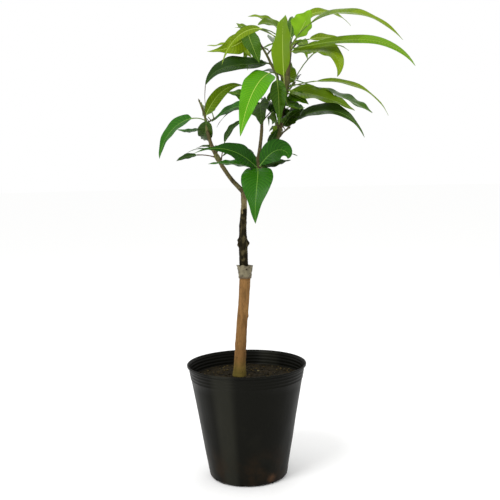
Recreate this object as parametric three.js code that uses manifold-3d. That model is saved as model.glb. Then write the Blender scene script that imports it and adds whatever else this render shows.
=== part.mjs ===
// A grafted mango sapling in a black nursery pot: rootstock, graft wrap, scion, four boughs
// and eight masses of leaves, each a closed solid of its own.
// Millimetres. +Z is up, +X is the plant's right and -Y its front.
// The origin is the middle of the pot's flat underside.

import * as THREE from 'three';
import { mergeVertices } from 'three/addons/utils/BufferGeometryUtils.js';
import Module from 'manifold-3d';

const wasm = await Module();
wasm.setup();

const DEGREE = Math.PI / 180;
const GAP = 0.3; // air between neighbours that touch on the real plant
const MERGE_DISTANCE = 1e-4; // points closer than this are one point

// ---------------------------------------------------------------- driving dimensions

const pot = {
  height: 229,
  rimRadius: 120, // outside of the lip
  baseRadius: 78, // where the wall would meet the ground
  cornerRadius: 7,
  wall: 1.6,
  lipHeight: 5,
  lipStand: 3, // how far the lip stands out of the wall
  lipThickness: 2,
  lipEdge: 1.4, // height of the rounded edges of the lip
  ribCount: 4, // fine ribs pressed round the wall under the lip
  ribPitch: 6.5,
  ribDepth: 0.7,
  ribCrest: 0.6, // where a rib is deepest, as a part of its pitch
  drainCount: 8, // drain holes through the bottom corner
  drainRadius: 4,
  drainLength: 30,
  drainHeight: 2,
  drainInset: 1, // how far inside baseRadius the holes' middles are
  drainTurn: 0.8, // turn of the first hole from +X, in parts of the angle between two holes
  drainSides: 8,
  sides: 40,
  cornerSteps: 4,
  innerCornerSteps: 2,
};

const soil = {
  top: 203, // ground level
  shoulder: 45, // radius of the level middle
  edgeDrop: 3, // how far the surface falls to the wall
};

const limbs = {
  rootstock_trunk: {
    path: [[-15, 0, 203.3], [-12, 0, 251], [-8, 2, 306], [-3, 2, 356], [1, 0, 415]],
    radii: [11.9, 11.4, 10.9, 10.8, 11.2],
    flare: { extra: 2.6, height: 12 },
    steps: 14,
    sides: 12,
  },
  scion_stem: {
    path: [[-1, 0, 408], [-2, 0, 441], [-2, -2, 471], [-2, -2, 503], [1, 0, 542], [1, 2, 570]],
    radii: [8.8, 8.8, 8.4, 7.2, 6, 5.8],
    steps: 14,
    sides: 12,
  },
  bough_right: {
    path: [[1, 2, 566], [12, 4, 595], [28, 4, 623], [51, 8, 652], [70, 10, 681], [80, 10, 727],
      [89, 6, 779], [96, 0, 836]],
    radii: [5.8, 5.7, 5.4, 5, 4.7, 4.5, 4.3, 3.4],
    steps: 20,
    sides: 8,
  },
  bough_left: {
    path: [[1, 1, 571], [-7, 3, 580], [-24, 7, 599], [-41, 12, 625], [-58, 17, 657], [-65, 19, 678],
      [-69, 20, 694]],
    radii: [4.8, 4.8, 4.3, 4.1, 4, 3.8, 3.4],
    steps: 15,
    sides: 8,
  },
  bough_middle: {
    path: [[27, 4, 618], [34, 0, 654], [38, -6, 685], [39, -8, 704]],
    radii: [4.2, 3.6, 3.3, 3],
    steps: 10,
    sides: 8,
  },
  bough_upper: {
    path: [[83, 10, 738], [77, 3, 757], [72, -3, 778], [71, -6, 795]],
    radii: [3.4, 3.2, 3, 2.8],
    steps: 8,
    sides: 8,
  },
};

// Old bud scars round the scion: where each knob sits, how far round, and its size.
const scionKnobs = [
  { height: 468, azimuth: 185, out: 8.5, radius: 4.4 },
  { height: 477, azimuth: 170, out: 7.5, radius: 4.2 },
  { height: 471, azimuth: 5, out: 7.8, radius: 5.2 },
];

const wrap = {
  bottom: 401,
  top: 428,
  centre: [0.5, 0],
  lowerRadius: 12.6,
  waistRadius: 13.2,
  upperRadius: 16,
  waist: 0.45, // height at which it starts to flare, as a part of its own height
  wall: 1.2,
  sides: 16,
};

const leafRule = {
  pathSteps: 24, // steps in which a leaf's arc is worked out
  bladeStations: [0.07, 0.22, 0.4, 0.58, 0.76, 0.91, 1],
  petioleRadius: 1.4,
  longPetiole: 30, // above this length the petiole bends half way
  thickness: 0.0105, // of the whole leaf's length
  fold: 12, // degrees that each half of the blade rises from the midrib
  sampleSteps: 12, // steps along a leaf between the points that judge its room
};

// How a blade's width runs from its foot to its tip, as shares of its length.
const outlineRule = {
  belly: 0.75, // below 1 the broadest place is nearer the foot
  fullness: 0.85,
  taper: 0.25,
  broadest: 0.905, // value of the plain curve at its broadest place
  drip: 0.3, // part of the width that the drawn-out tip gives up
  dripFrom: 0.4,
  dripTo: 0.8,
};

const twigRule = {
  radius: 1.8,
  tipRadius: 1.4,
  sides: 6,
  length: [18, 34],
  rise: [20, 50],
  leafFan: 50, // degrees between neighbouring leaves of a twig
  petiole: [12, 30],
  blade: [80, 130],
  slenderness: 0.25, // width over length of a blade
  leafRise: [5, 60],
  droop: [40, 85],
  limbAir: 3, // least air between a seeded leaf and a limb
  leafAir: 7, // least air between a seeded leaf and a leaf that is not its twig's
  crowdedRoot: 0.35, // part of a leaf next to its root that may stand close to its neighbours
  turn: 12, // most degrees that a twig turns from its place in the fan
  leafTurn: 10,
  leafRoll: 20,
  stemPlaces: [0.3, 0.8], // part of a stem that carries the twigs
  collarMargin: 4, // ends of a collar that stay free of twigs
  leafPlaces: [0.7, 0.95], // part of a twig that carries the leaves
};

// Each mass grows from a stem of its own at a bough's tip or side, or from a collar round a
// limb that runs on through it. Leading leaves are set one by one, and seeded twigs with
// leaves fill the rest. at is the place on the stem from 0 to 1, or the height on a collar.
// azimuth turns from +X towards the back, rise is up from level, droop is how far the leaf
// bends down and sway how far it turns from root to tip, and bend above 1 puts the droop
// nearer the tip. roll turns the blade about its midrib. All angles are in degrees. belly and
// drip shape the blade's outline.
const masses = {
  foliage_left_tip: {
    stem: { path: [[-69, 20, 694], [-71, 20, 711], [-73, 20, 725]], radii: [3.4, 2.8, 1.8] },
    leaves: [
      { at: 0.87, azimuth: 35, rise: 61, petiole: 2, blade: 120, width: 25, droop: 68, roll: 65, bend: 1.6,
        belly: 0.7, drip: 0 },
      { at: 0.87, azimuth: 101, rise: 48, petiole: 10, blade: 61, width: 20, droop: 40, roll: 60 },
      { at: 0.71, azimuth: -67, rise: -19, petiole: 3, blade: 70, width: 33, droop: 168, roll: 31,
        sway: -18, bend: 0.4 },
      { at: 0.58, azimuth: 149, rise: 36, petiole: 32, blade: 116, width: 39, droop: 119, roll: -48,
        sway: 31, bend: 0.7, belly: 0.7, drip: 0.1 },
      { at: 0.34, azimuth: 115, rise: -20, petiole: 32, blade: 70, width: 14, droop: -32, roll: -37,
        sway: 31, bend: 0.8, belly: 0.8, drip: 0 },
    ],
    fill: { seed: 172, twigs: 2, leaves: 3, azimuth: 100, fan: 60 },
    space: { centre: [-80, 75, 725], radius: 115 },
  },
  foliage_left_low: {
    collar: { limb: 'bough_left', from: 631, to: 648 },
    leaves: [
      { at: 642, azimuth: -167, rise: 17, petiole: 35, blade: 44, width: 16, droop: 44, roll: -39, sway: 6,
        belly: 0.85, drip: 0 },
      { at: 636, azimuth: 15, rise: 82, petiole: 33, blade: 71, width: 19, droop: 74, roll: 16, sway: 27,
        bend: 1.7, belly: 0.9, drip: 0 },
    ],
    fill: { seed: 79, twigs: 1, leaves: 3, azimuth: 110, fan: 0 },
    space: { centre: [-50, 80, 655], radius: 105 },
  },
  foliage_front: {
    stem: { path: [[27, 4, 613], [28, -10, 615], [29, -24, 618]], radii: [3.2, 3, 2.4] },
    leaves: [
      { at: 0.98, azimuth: -137, rise: 38, petiole: 2, blade: 148, width: 43, droop: 63, roll: -64,
        sway: -24, bend: 1.4, belly: 0.5, drip: 0.7 },
      { at: 0.88, azimuth: -174, rise: 19, petiole: 10, blade: 87, width: 28, droop: 25, roll: -25 },
      { at: 1, azimuth: -87, rise: 0, petiole: 6, blade: 137, width: 62, droop: 95, sway: -25, bend: 0.8 },
      { at: 0.94, azimuth: -12, rise: 50, petiole: 6, blade: 80, width: 47, droop: 170, roll: 75, sway: 15,
        bend: 3.2, belly: 1.15, drip: 0 },
      { at: 0.84, azimuth: 36, rise: 16, petiole: 10, blade: 76, width: 26, droop: 10, roll: 30 },
      { at: 0.88, azimuth: 24, rise: 64, petiole: 52, blade: 40, width: 16, droop: 10, roll: 50 },
    ],
    fill: { seed: 174, twigs: 1, leaves: 3, azimuth: 75, fan: 0 },
    space: { centre: [30, 60, 620], radius: 110 },
  },
  foliage_middle: {
    stem: { path: [[39, -8, 704], [41, -9, 719], [41, -10, 734]], radii: [3, 2.6, 1.8] },
    leaves: [
      { at: 0.88, azimuth: 94, rise: 57, petiole: 10, blade: 90, width: 30, droop: 160, sway: -10 },
      { at: 0.76, azimuth: 164, rise: 59, petiole: 18, blade: 68, width: 36, droop: 60, roll: -50 },
      { at: 0.5, azimuth: 123, rise: 60, petiole: 45, blade: 105, width: 27, droop: 98, roll: -49,
        sway: 34, bend: 0.6, belly: 0.95, drip: 0.1 },
      { at: 0.1, azimuth: 140, rise: 64, petiole: 55, blade: 84, width: 12, droop: 118, roll: -30, sway: 2,
        bend: 0.8 },
      { at: 0.1, azimuth: 40, rise: 45, petiole: 30, blade: 26, width: 24, droop: 10, roll: 60 },
    ],
    fill: { seed: 64, twigs: 2, leaves: 3, azimuth: 110, fan: 60 },
    space: { centre: [25, 80, 740], radius: 115 },
  },
  foliage_right_low: {
    collar: { limb: 'bough_right', from: 674, to: 701 },
    leaves: [
      { at: 679, azimuth: -15, rise: 52, petiole: 46, blade: 172, width: 46, droop: 115, roll: 33,
        sway: -35, bend: 1.1, belly: 0.6, drip: 0.6 },
      { at: 696, azimuth: -62, rise: 51, petiole: 12, blade: 82, width: 46, droop: 60, roll: 40 },
    ],
    fill: { seed: 97, twigs: 2, leaves: 3, azimuth: 75, fan: 60 },
    space: { centre: [105, 85, 715], radius: 115 },
  },
  foliage_right: {
    collar: { limb: 'bough_right', from: 757, to: 796 },
    leaves: [
      { at: 775, azimuth: -28, rise: 11, petiole: 52, blade: 170, width: 20, droop: 74, roll: 31, sway: 45,
        bend: 1.6, belly: 0.8 },
      { at: 768, azimuth: -31, rise: -11, petiole: 2, blade: 147, width: 50, droop: 20, roll: 30,
        bend: 1.7, belly: 0.6, drip: 0.1 },
      { at: 791, azimuth: -2, rise: -18, petiole: 48, blade: 137, width: 44, droop: 11, roll: 9, sway: -45,
        bend: 0.9, belly: 0.95, drip: 0 },
      { at: 773, azimuth: 78, rise: 60, petiole: 8, blade: 75, width: 34, droop: 30, roll: 15 },
      { at: 766, azimuth: 15, rise: 61, petiole: 89, blade: 90, width: 16, droop: 97, roll: 30, sway: 9,
        bend: 2.2 },
      { at: 762, azimuth: -97, rise: 40, petiole: 46, blade: 201, width: 44, droop: 49, roll: 40, sway: 9,
        bend: 2.7, belly: 0.65, drip: 0.1 },
      { at: 763, azimuth: -45, rise: -18, petiole: 5, blade: 55, width: 28, droop: 14, roll: 45 },
    ],
    fill: { seed: 154, twigs: 3, leaves: 3, azimuth: 80, fan: 50 },
    space: { centre: [110, 90, 790], radius: 125 },
  },
  foliage_upper_left: {
    stem: {
      path: [[71, -6, 795], [61, -9, 814], [50, -4, 838], [37, 2, 860], [23, 5, 876], [15, 6, 884]],
      radii: [2.8, 2.6, 2.3, 2.1, 1.9, 1.6],
    },
    leaves: [
      { at: 0.06, azimuth: -124, rise: 18, petiole: 23, blade: 182, width: 50, droop: 81, roll: -22,
        sway: 14, bend: 0.4, belly: 0.55, drip: 0 },
      { at: 0.05, azimuth: -84, rise: -44, petiole: 16, blade: 93, width: 32, droop: 60, roll: 10 },
      { at: 0.25, azimuth: -160, rise: -4, petiole: 5, blade: 163, width: 49, droop: 56, roll: -37,
        sway: 34, bend: 3, belly: 0.85 },
      { at: 1, azimuth: -91, rise: -6, petiole: 2, blade: 96, width: 35, droop: 57, roll: 17, sway: 45,
        bend: 0.4, belly: 0.95, drip: 0 },
      { at: 0.97, azimuth: -151, rise: -47, petiole: 2, blade: 52, width: 32, droop: 85, roll: -24,
        sway: -5, bend: 0.7 },
      { at: 0.94, azimuth: 163, rise: -35, petiole: 7, blade: 84, width: 25, droop: -42, roll: -25,
        sway: -1, bend: 0.9 },
      { at: 0.89, azimuth: -128, rise: -61, petiole: 10, blade: 107, width: 39, droop: -54, roll: -75,
        sway: -23, bend: 0.4, drip: 0.6 },
      { at: 1, azimuth: 126, rise: 34, petiole: 9, blade: 33, width: 14, droop: 10, roll: -36, sway: 3 },
    ],
    fill: { seed: 39, twigs: 3, leaves: 3, azimuth: 100, fan: 50 },
    space: { centre: [35, 80, 840], radius: 125 },
  },
  foliage_top: {
    stem: { path: [[96, 0, 836], [97, 1, 846], [98, 2, 857]], radii: [3.4, 3, 2] },
    leaves: [
      { at: 0.44, azimuth: -138, rise: 52, petiole: 85, blade: 132, width: 17, droop: 123, roll: -75,
        bend: 0.9, belly: 0.7, drip: 0.5 },
      { at: 0.71, azimuth: -38, rise: 60, petiole: 54, blade: 210, width: 34, droop: 111, roll: 27,
        sway: 16, bend: 0.8, belly: 0.5, drip: 0.1 },
      { at: 0.49, azimuth: 0, rise: 60, petiole: 24, blade: 61, width: 64, droop: -2, roll: -39, sway: -10,
        bend: 0.9, belly: 1.15 },
      { at: 0.83, azimuth: 83, rise: 64, petiole: 20, blade: 71, width: 34, droop: 30 },
      { at: 0.82, azimuth: 173, rise: 72, petiole: 23, blade: 86, width: 26, droop: 79, roll: -34,
        sway: 21, bend: 1.1, belly: 0.8, drip: 0.1 },
      { at: 0.7, azimuth: -160, rise: 72, petiole: 29, blade: 70, width: 29, droop: 104, roll: -44,
        sway: 26, bend: 1.2, belly: 0.8, drip: 0.1 },
      { at: 0.32, azimuth: -16, rise: 1, petiole: 2, blade: 144, width: 48, droop: 142, roll: 32,
        sway: -45, bend: 3.2, belly: 0.6, drip: 0 },
      { at: 0.57, azimuth: -35, rise: 3, petiole: 20, blade: 269, width: 23, droop: 57, roll: 49,
        sway: -11, bend: 2.7, belly: 0.95, drip: 0.1 },
      { at: 0.85, azimuth: 22, rise: 27, petiole: 43, blade: 92, width: 22, droop: 34, roll: 48, sway: 15,
        bend: 0.8, belly: 0.85 },
      { at: 0.91, azimuth: 29, rise: 80, petiole: 41, blade: 140, width: 23, droop: 124, roll: 40,
        sway: -4 },
    ],
    fill: { seed: 153, twigs: 3, leaves: 3, azimuth: 95, fan: 60 },
    space: { centre: [110, 90, 880], radius: 130 },
  },
};

const collarWall = 1.7;
const collarSteps = 3;
const stemSides = 6;
const stemSteps = 2; // between two points of a mass's own stem
const knobDetail = 1;

const finishes = {
  blackPlastic: { color: 0x1b1c19, roughness: 0.45 },
  earth: { color: 0x2e2318, roughness: 1 },
  tanBark: { color: 0x8a6136, roughness: 0.85 },
  darkBark: { color: 0x3b3424, roughness: 0.9 },
  greyBark: { color: 0x4c4730, roughness: 0.85 },
  tape: { color: 0x8f8a74, roughness: 0.5 },
  leafGreen: { color: 0x3f8a1c, roughness: 0.45 },
};

// ---------------------------------------------------------------- solids and meshes

// Joins doubled points, drops the triangles this flattens, and gives a closed solid.
function toSolid(geometry) {
  const bare = geometry.clone();
  bare.deleteAttribute('normal');
  bare.deleteAttribute('uv');
  const merged = mergeVertices(bare, MERGE_DISTANCE);
  const corners = merged.index.array;
  const triangles = [];
  for (let i = 0; i < corners.length; i += 3) {
    const [a, b, c] = corners.slice(i, i + 3);
    if (a !== b && b !== c && c !== a) {
      triangles.push(a, b, c);
    }
  }
  return new wasm.Manifold(new wasm.Mesh({
    numProp: 3,
    vertProperties: merged.attributes.position.array,
    triVerts: Uint32Array.from(triangles),
  }));
}

// The largest connected body of a solid: loose scraps and sealed hollows are left behind.
function mainBody(solid) {
  const bodies = solid.decompose();
  return bodies.reduce((best, body) => (body.volume() > best.volume() ? body : best));
}

function toMesh(name, solid, finish) {
  const { vertProperties, triVerts } = mainBody(solid).getMesh();
  const geometry = new THREE.BufferGeometry();
  geometry.setAttribute('position', new THREE.BufferAttribute(vertProperties, 3));
  geometry.setIndex(new THREE.BufferAttribute(triVerts, 1));
  geometry.computeVertexNormals();
  const mesh = new THREE.Mesh(geometry, new THREE.MeshStandardMaterial({ ...finish, metalness: 0 }));
  mesh.name = name;
  return mesh;
}

// Skins a row of rings, each with the same even number of points, counter-clockwise about
// the way the row runs. The ends are closed by strips between facing points of the ring.
function loft(rings) {
  const count = rings[0].length;
  const last = (rings.length - 1) * count;
  const index = [];
  for (let ring = 0; ring < rings.length - 1; ring += 1) {
    for (let i = 0; i < count; i += 1) {
      const a = ring * count + i;
      const b = ring * count + ((i + 1) % count);
      index.push(a, b, b + count, a, b + count, a + count);
    }
  }
  for (let i = 0; i < count / 2 - 1; i += 1) {
    const facing = count - 1 - i;
    index.push(i, facing, facing - 1, i, facing - 1, i + 1);
    index.push(last + i, last + i + 1, last + facing - 1, last + i, last + facing - 1, last + facing);
  }
  const geometry = new THREE.BufferGeometry().setFromPoints(rings.flat());
  geometry.setIndex(index);
  return toSolid(geometry);
}

// A solid turned about the vertical axis from a closed profile of [radius, height] points.
function turned(profile, sides) {
  const points = profile.map(([radius, height]) => new THREE.Vector2(radius, height));
  return toSolid(new THREE.LatheGeometry(points, sides).rotateX(Math.PI / 2));
}

function arcPoints(centre, radius, fromDegrees, toDegrees, steps) {
  return Array.from({ length: steps + 1 }, (unused, i) => {
    const angle = (fromDegrees + ((toDegrees - fromDegrees) * i) / steps) * DEGREE;
    return [centre[0] + radius * Math.cos(angle), centre[1] + radius * Math.sin(angle)];
  });
}

const vector = ([x, y, z]) => new THREE.Vector3(x, y, z);

const mix = (from, to, share) => from + (to - from) * share;

const aimed = (azimuth, rise) => new THREE.Vector3(
  Math.cos(rise * DEGREE) * Math.cos(azimuth * DEGREE),
  Math.cos(rise * DEGREE) * Math.sin(azimuth * DEGREE),
  Math.sin(rise * DEGREE),
);

// ---------------------------------------------------------------- pot and soil

const wallRadius = (height) => mix(pot.baseRadius, pot.rimRadius - pot.lipStand, height / pot.height);
const wallSlope = Math.atan((wallRadius(pot.height) - pot.baseRadius) / pot.height) / DEGREE;

// Ribs as [radius, height] points going up the wall.
function ribPoints() {
  const bottom = pot.height - pot.lipHeight - pot.ribCount * pot.ribPitch;
  const points = [];
  for (let i = 0; i < pot.ribCount; i += 1) {
    const foot = bottom + i * pot.ribPitch;
    const crest = foot + pot.ribPitch * pot.ribCrest;
    points.push([wallRadius(foot), foot]);
    points.push([wallRadius(crest) + pot.ribDepth, crest]);
  }
  return points;
}

// The rounded corner between floor and wall, set in from the outside.
function cornerPoints(inset, steps) {
  const centre = [wallRadius(pot.cornerRadius) - pot.cornerRadius, pot.cornerRadius];
  return arcPoints(centre, pot.cornerRadius - inset, -90, -wallSlope, steps);
}

function makePot() {
  const { height, wall, lipHeight, lipEdge, lipThickness, rimRadius } = pot;
  const lipFoot = height - lipHeight;
  const outside = [
    [0, 0],
    ...cornerPoints(0, pot.cornerSteps),
    ...ribPoints(),
    [wallRadius(lipFoot), lipFoot],
    [rimRadius - lipEdge / 2, lipFoot + lipEdge],
    [rimRadius, height - lipEdge],
    [rimRadius - lipEdge / 2, height],
    [rimRadius - lipThickness, height],
  ];
  const inside = [
    [0, wall],
    ...cornerPoints(wall, pot.innerCornerSteps),
    [wallRadius(lipFoot) - wall, lipFoot],
  ];
  const shell = turned([...outside, ...inside.reverse()], pot.sides);
  return drainHoles().reduce((solid, hole) => solid.subtract(hole), shell);
}

// Slanting round holes through the corner between wall and floor.
function drainHoles() {
  const { drainCount, drainRadius, drainLength, drainHeight, baseRadius } = pot;
  return Array.from({ length: drainCount }, (unused, i) => {
    const azimuth = (i + pot.drainTurn) * (360 / drainCount);
    const hole = new THREE.CylinderGeometry(drainRadius, drainRadius, drainLength, pot.drainSides);
    hole.rotateZ(Math.PI / 4);
    hole.rotateX(Math.PI / 2);
    hole.translate(baseRadius - pot.drainInset, 0, drainHeight);
    hole.rotateZ(azimuth * DEGREE);
    return toSolid(hole);
  });
}

function makeSoil() {
  const fit = pot.wall + GAP;
  const edge = soil.top - soil.edgeDrop;
  return turned([
    [0, fit],
    ...cornerPoints(fit, pot.innerCornerSteps),
    [wallRadius(edge) - fit, edge],
    [soil.shoulder, soil.top],
    [0, soil.top],
  ], pot.sides);
}

// ---------------------------------------------------------------- limbs

const curveOf = (path) => new THREE.CatmullRomCurve3(path.map(vector), false, 'catmullrom', 0.5);

// A limb's middle line, thickness and direction at share 0 to 1 of its points.
function limbAt(limb, share) {
  const curve = curveOf(limb.path);
  const place = share * (limb.radii.length - 1);
  const before = Math.min(Math.floor(place), limb.radii.length - 2);
  const point = curve.getPoint(share);
  let radius = mix(limb.radii[before], limb.radii[before + 1], place - before);
  if (limb.flare) {
    radius += limb.flare.extra * Math.exp((limb.path[0][2] - point.z) / limb.flare.height);
  }
  return { point, radius, tangent: curve.getTangent(share) };
}

function ringAbout(point, tangent, radius, sides) {
  const across = new THREE.Vector3(1, 0, 0);
  across.addScaledVector(tangent, -across.dot(tangent)).normalize();
  const over = new THREE.Vector3().crossVectors(tangent, across);
  return Array.from({ length: sides }, (unused, i) => {
    const angle = ((i + 0.5) / sides) * 2 * Math.PI;
    return point.clone()
      .addScaledVector(across, radius * Math.cos(angle))
      .addScaledVector(over, radius * Math.sin(angle));
  });
}

// The tapering tube of a limb from one share of its path to another. grow makes it larger
// on every side, for the room that a neighbour leaves round it.
function limbTube(limb, { grow = 0, from = 0, to = 1, sides = limb.sides, steps = limb.steps } = {}) {
  const up = new THREE.Vector3(0, 0, 1);
  const rings = [];
  for (let i = 0; i <= steps; i += 1) {
    const { point, radius, tangent } = limbAt(limb, mix(from, to, i / steps));
    const levelFoot = i === 0 && limb.flare;
    const facing = levelFoot ? up : tangent;
    if (i === 0) {
      point.addScaledVector(facing, -grow);
    }
    if (i === steps) {
      point.addScaledVector(facing, grow);
    }
    rings.push(ringAbout(point, facing, radius + grow, sides));
  }
  return loft(rings);
}

const roomFor = (name) => limbTube(limbs[name], { grow: GAP });

const cutClear = (solid, ...names) => names.reduce((rest, name) => rest.subtract(roomFor(name)), solid);

function makeScion() {
  const knobs = scionKnobs.map(({ height, azimuth, out, radius }) => {
    const centre = limbAt(limbs.scion_stem, shareAtHeight(limbs.scion_stem, height)).point;
    centre.addScaledVector(aimed(azimuth, 0), out);
    const knob = new THREE.IcosahedronGeometry(radius, knobDetail);
    return toSolid(knob.translate(centre.x, centre.y, centre.z));
  });
  const stem = cutClear(limbTube(limbs.scion_stem), 'rootstock_trunk');
  return knobs.reduce((solid, knob) => solid.add(knob), stem);
}

// Grafting tape wound round the joint, standing open at the top.
function makeWrap() {
  const { bottom, top, centre, lowerRadius, waistRadius, upperRadius, wall, sides } = wrap;
  const waist = mix(bottom, top, wrap.waist);
  const sleeve = turned([
    [lowerRadius - wall, bottom],
    [lowerRadius, bottom],
    [waistRadius, waist],
    [upperRadius, top],
    [upperRadius - wall, top],
    [waistRadius - wall, waist],
    [lowerRadius - wall, bottom],
  ], sides).translate([centre[0], centre[1], 0]);
  return cutClear(sleeve, 'rootstock_trunk', 'scion_stem');
}

// The share of a limb's path at which it passes a height.
function shareAtHeight(limb, height) {
  const samples = 400;
  for (let i = 0; i <= samples; i += 1) {
    if (limbAt(limb, i / samples).point.z >= height) {
      return i / samples;
    }
  }
  return 1;
}

// ---------------------------------------------------------------- leaves

// Repeatable random numbers from 0 to 1.
function seededRandom(seed) {
  let state = seed;
  return () => {
    state = (state + 0x6d2b79f5) | 0;
    let mixed = Math.imul(state ^ (state >>> 15), 1 | state);
    mixed = (mixed + Math.imul(mixed ^ (mixed >>> 7), 61 | mixed)) ^ mixed;
    return ((mixed ^ (mixed >>> 14)) >>> 0) / 4294967296;
  };
}

// Width of a blade at share 0 to 1 of its length, as a part of its greatest width. A higher
// belly puts the broadest place nearer the tip, and drip draws the tip out.
function bladeOutline(leaf, share) {
  const { belly = outlineRule.belly, drip = outlineRule.drip } = leaf;
  const { fullness, taper, broadest, dripFrom, dripTo } = outlineRule;
  const swell = Math.max(Math.sin(Math.PI * share ** belly), 0) ** fullness;
  const drawn = 1 - drip * THREE.MathUtils.smoothstep(share, dripFrom, dripTo);
  return (swell * (1 - taper * share) * drawn) / broadest;
}

function leafDirection(leaf, share) {
  const { azimuth, rise, droop = 0, sway = 0, bend = 1 } = leaf;
  return aimed(azimuth + sway * share, rise - droop * share ** bend);
}

// Points along the midrib from the petiole's root to the tip.
function leafPath(leaf) {
  const steps = leafRule.pathSteps;
  const stride = (leaf.petiole + leaf.blade) / steps;
  const points = [leaf.root.clone()];
  for (let i = 0; i < steps; i += 1) {
    const way = leafDirection(leaf, i / steps).add(leafDirection(leaf, (i + 1) / steps)).normalize();
    points.push(points[i].clone().addScaledVector(way, stride));
  }
  return points;
}

function pointOn(points, share) {
  const place = share * (points.length - 1);
  const before = Math.min(Math.floor(place), points.length - 2);
  return points[before].clone().lerp(points[before + 1], place - before);
}

// Place and cross directions of a leaf at one share of its whole length.
function leafStation(leaf, path, share) {
  const azimuth = (leaf.azimuth + (leaf.sway ?? 0) * share) * DEGREE;
  const along = leafDirection(leaf, share);
  const level = new THREE.Vector3(-Math.sin(azimuth), Math.cos(azimuth), 0);
  const upper = new THREE.Vector3().crossVectors(along, level);
  const roll = (leaf.roll ?? 0) * DEGREE;
  const side = level.clone().multiplyScalar(Math.cos(roll)).addScaledVector(upper, Math.sin(roll));
  const face = upper.multiplyScalar(Math.cos(roll)).addScaledVector(level, -Math.sin(roll));
  return { point: pointOn(path, share), side, face };
}

// Six points round a leaf: lower face from one edge to the other, then the upper face back.
function leafRing(station, halfWidth, fold, midHalf, edgeHalf) {
  const columns = [-1, 0, 1];
  const spot = (column, level) => station.point.clone()
    .addScaledVector(station.side, column * halfWidth * Math.cos(fold))
    .addScaledVector(station.face, Math.abs(column) * halfWidth * Math.sin(fold)
      + level * (column === 0 ? midHalf : edgeHalf));
  return [
    ...columns.map((column) => spot(column, -1)),
    ...columns.slice().reverse().map((column) => spot(column, 1)),
  ];
}

function leafSolid(leaf) {
  const path = leafPath(leaf);
  const length = leaf.petiole + leaf.blade;
  const stalk = leafRule.petioleRadius;
  const half = (leafRule.thickness * length) / 2;
  const stalkEnd = leaf.petiole / length;
  const stalkShares = leaf.petiole > leafRule.longPetiole ? [0, stalkEnd / 2, stalkEnd] : [0, stalkEnd];
  const rings = stalkShares.map((share) => (
    leafRing(leafStation(leaf, path, share), stalk, 0, stalk, stalk / 2)));
  leafRule.bladeStations.forEach((share) => {
    const station = leafStation(leaf, path, (leaf.petiole + share * leaf.blade) / length);
    const halfWidth = Math.max((leaf.width / 2) * bladeOutline(leaf, share), half);
    rings.push(leafRing(station, halfWidth, leafRule.fold * DEGREE, half, half));
  });
  return loft(rings);
}

// ---------------------------------------------------------------- masses of foliage

function collarTube(collar) {
  const limb = limbs[collar.limb];
  const from = shareAtHeight(limb, collar.from);
  const to = shareAtHeight(limb, collar.to);
  return limbTube(limb, { grow: GAP + collarWall, from, to, steps: collarSteps });
}

const stemTube = (stem) => limbTube(stem, { sides: stemSides, steps: stemSteps * (stem.path.length - 1) });

// Where a petiole or twig that leaves towards an azimuth has its root.
function rootOn(mass, at, azimuth) {
  if (mass.stem) {
    return limbAt(mass.stem, at).point;
  }
  const limb = limbs[mass.collar.limb];
  const { point, radius } = limbAt(limb, shareAtHeight(limb, at));
  return point.addScaledVector(aimed(azimuth, 0), radius + GAP + collarWall / 2);
}

// Points spread over a leaf, for judging how near it comes to something else.
function leafSamples(leaf) {
  const path = leafPath(leaf);
  const length = leaf.petiole + leaf.blade;
  const samples = [];
  for (let i = 0; i <= leafRule.sampleSteps; i += 1) {
    const share = i / leafRule.sampleSteps;
    const station = leafStation(leaf, path, share);
    const bladeShare = Math.max((share * length - leaf.petiole) / leaf.blade, 0);
    const reach = (leaf.width / 2) * bladeOutline(leaf, bladeShare);
    [-1, 0, 1].forEach((column) => {
      samples.push({ share, point: station.point.clone().addScaledVector(station.side, column * reach) });
    });
  }
  return samples;
}

const limbSampleSteps = 40;
const limbSamples = Object.values(limbs).flatMap((limb) => (
  Array.from({ length: limbSampleSteps + 1 }, (unused, i) => limbAt(limb, i / limbSampleSteps))
));

function clearOfLimbs(samples) {
  return samples.every(({ share, point }) => share < twigRule.crowdedRoot
    || limbSamples.every((limb) => limb.point.distanceTo(point) > limb.radius + twigRule.limbAir));
}

function clearOfLeaves(samples, others) {
  const clear = ({ point }, other) => other.point.distanceTo(point) > twigRule.leafAir;
  return samples.every((sample) => others.every((other) => (
    (sample.share < twigRule.crowdedRoot && other.share < twigRule.crowdedRoot) || clear(sample, other))));
}

function growTwig(mass, index, random) {
  const { fill, collar } = mass;
  const { turn, leafTurn, leafRoll, stemPlaces, collarMargin, leafPlaces } = twigRule;
  const between = ([low, high]) => mix(low, high, random());
  const azimuth = fill.azimuth + (index - (fill.twigs - 1) / 2) * fill.fan + between([-turn, turn]);
  const rise = between(twigRule.rise);
  const length = between(twigRule.length);
  const place = (index + 0.5) / fill.twigs;
  const at = mass.stem
    ? mix(...stemPlaces, place)
    : mix(collar.from + collarMargin, collar.to - collarMargin, place);
  const root = rootOn(mass, at, azimuth);
  const tip = root.clone().addScaledVector(aimed(azimuth, rise), length);
  const leaves = [];
  for (let i = 0; i < fill.leaves; i += 1) {
    const blade = between(twigRule.blade);
    leaves.push({
      root: root.clone().lerp(tip, mix(...leafPlaces, i / Math.max(fill.leaves - 1, 1))),
      azimuth: azimuth + (i - (fill.leaves - 1) / 2) * twigRule.leafFan + between([-leafTurn, leafTurn]),
      rise: between(twigRule.leafRise),
      petiole: between(twigRule.petiole),
      blade,
      width: blade * twigRule.slenderness,
      droop: between(twigRule.droop),
      roll: between([-leafRoll, leafRoll]),
    });
  }
  return { root, tip, leaves };
}

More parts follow.
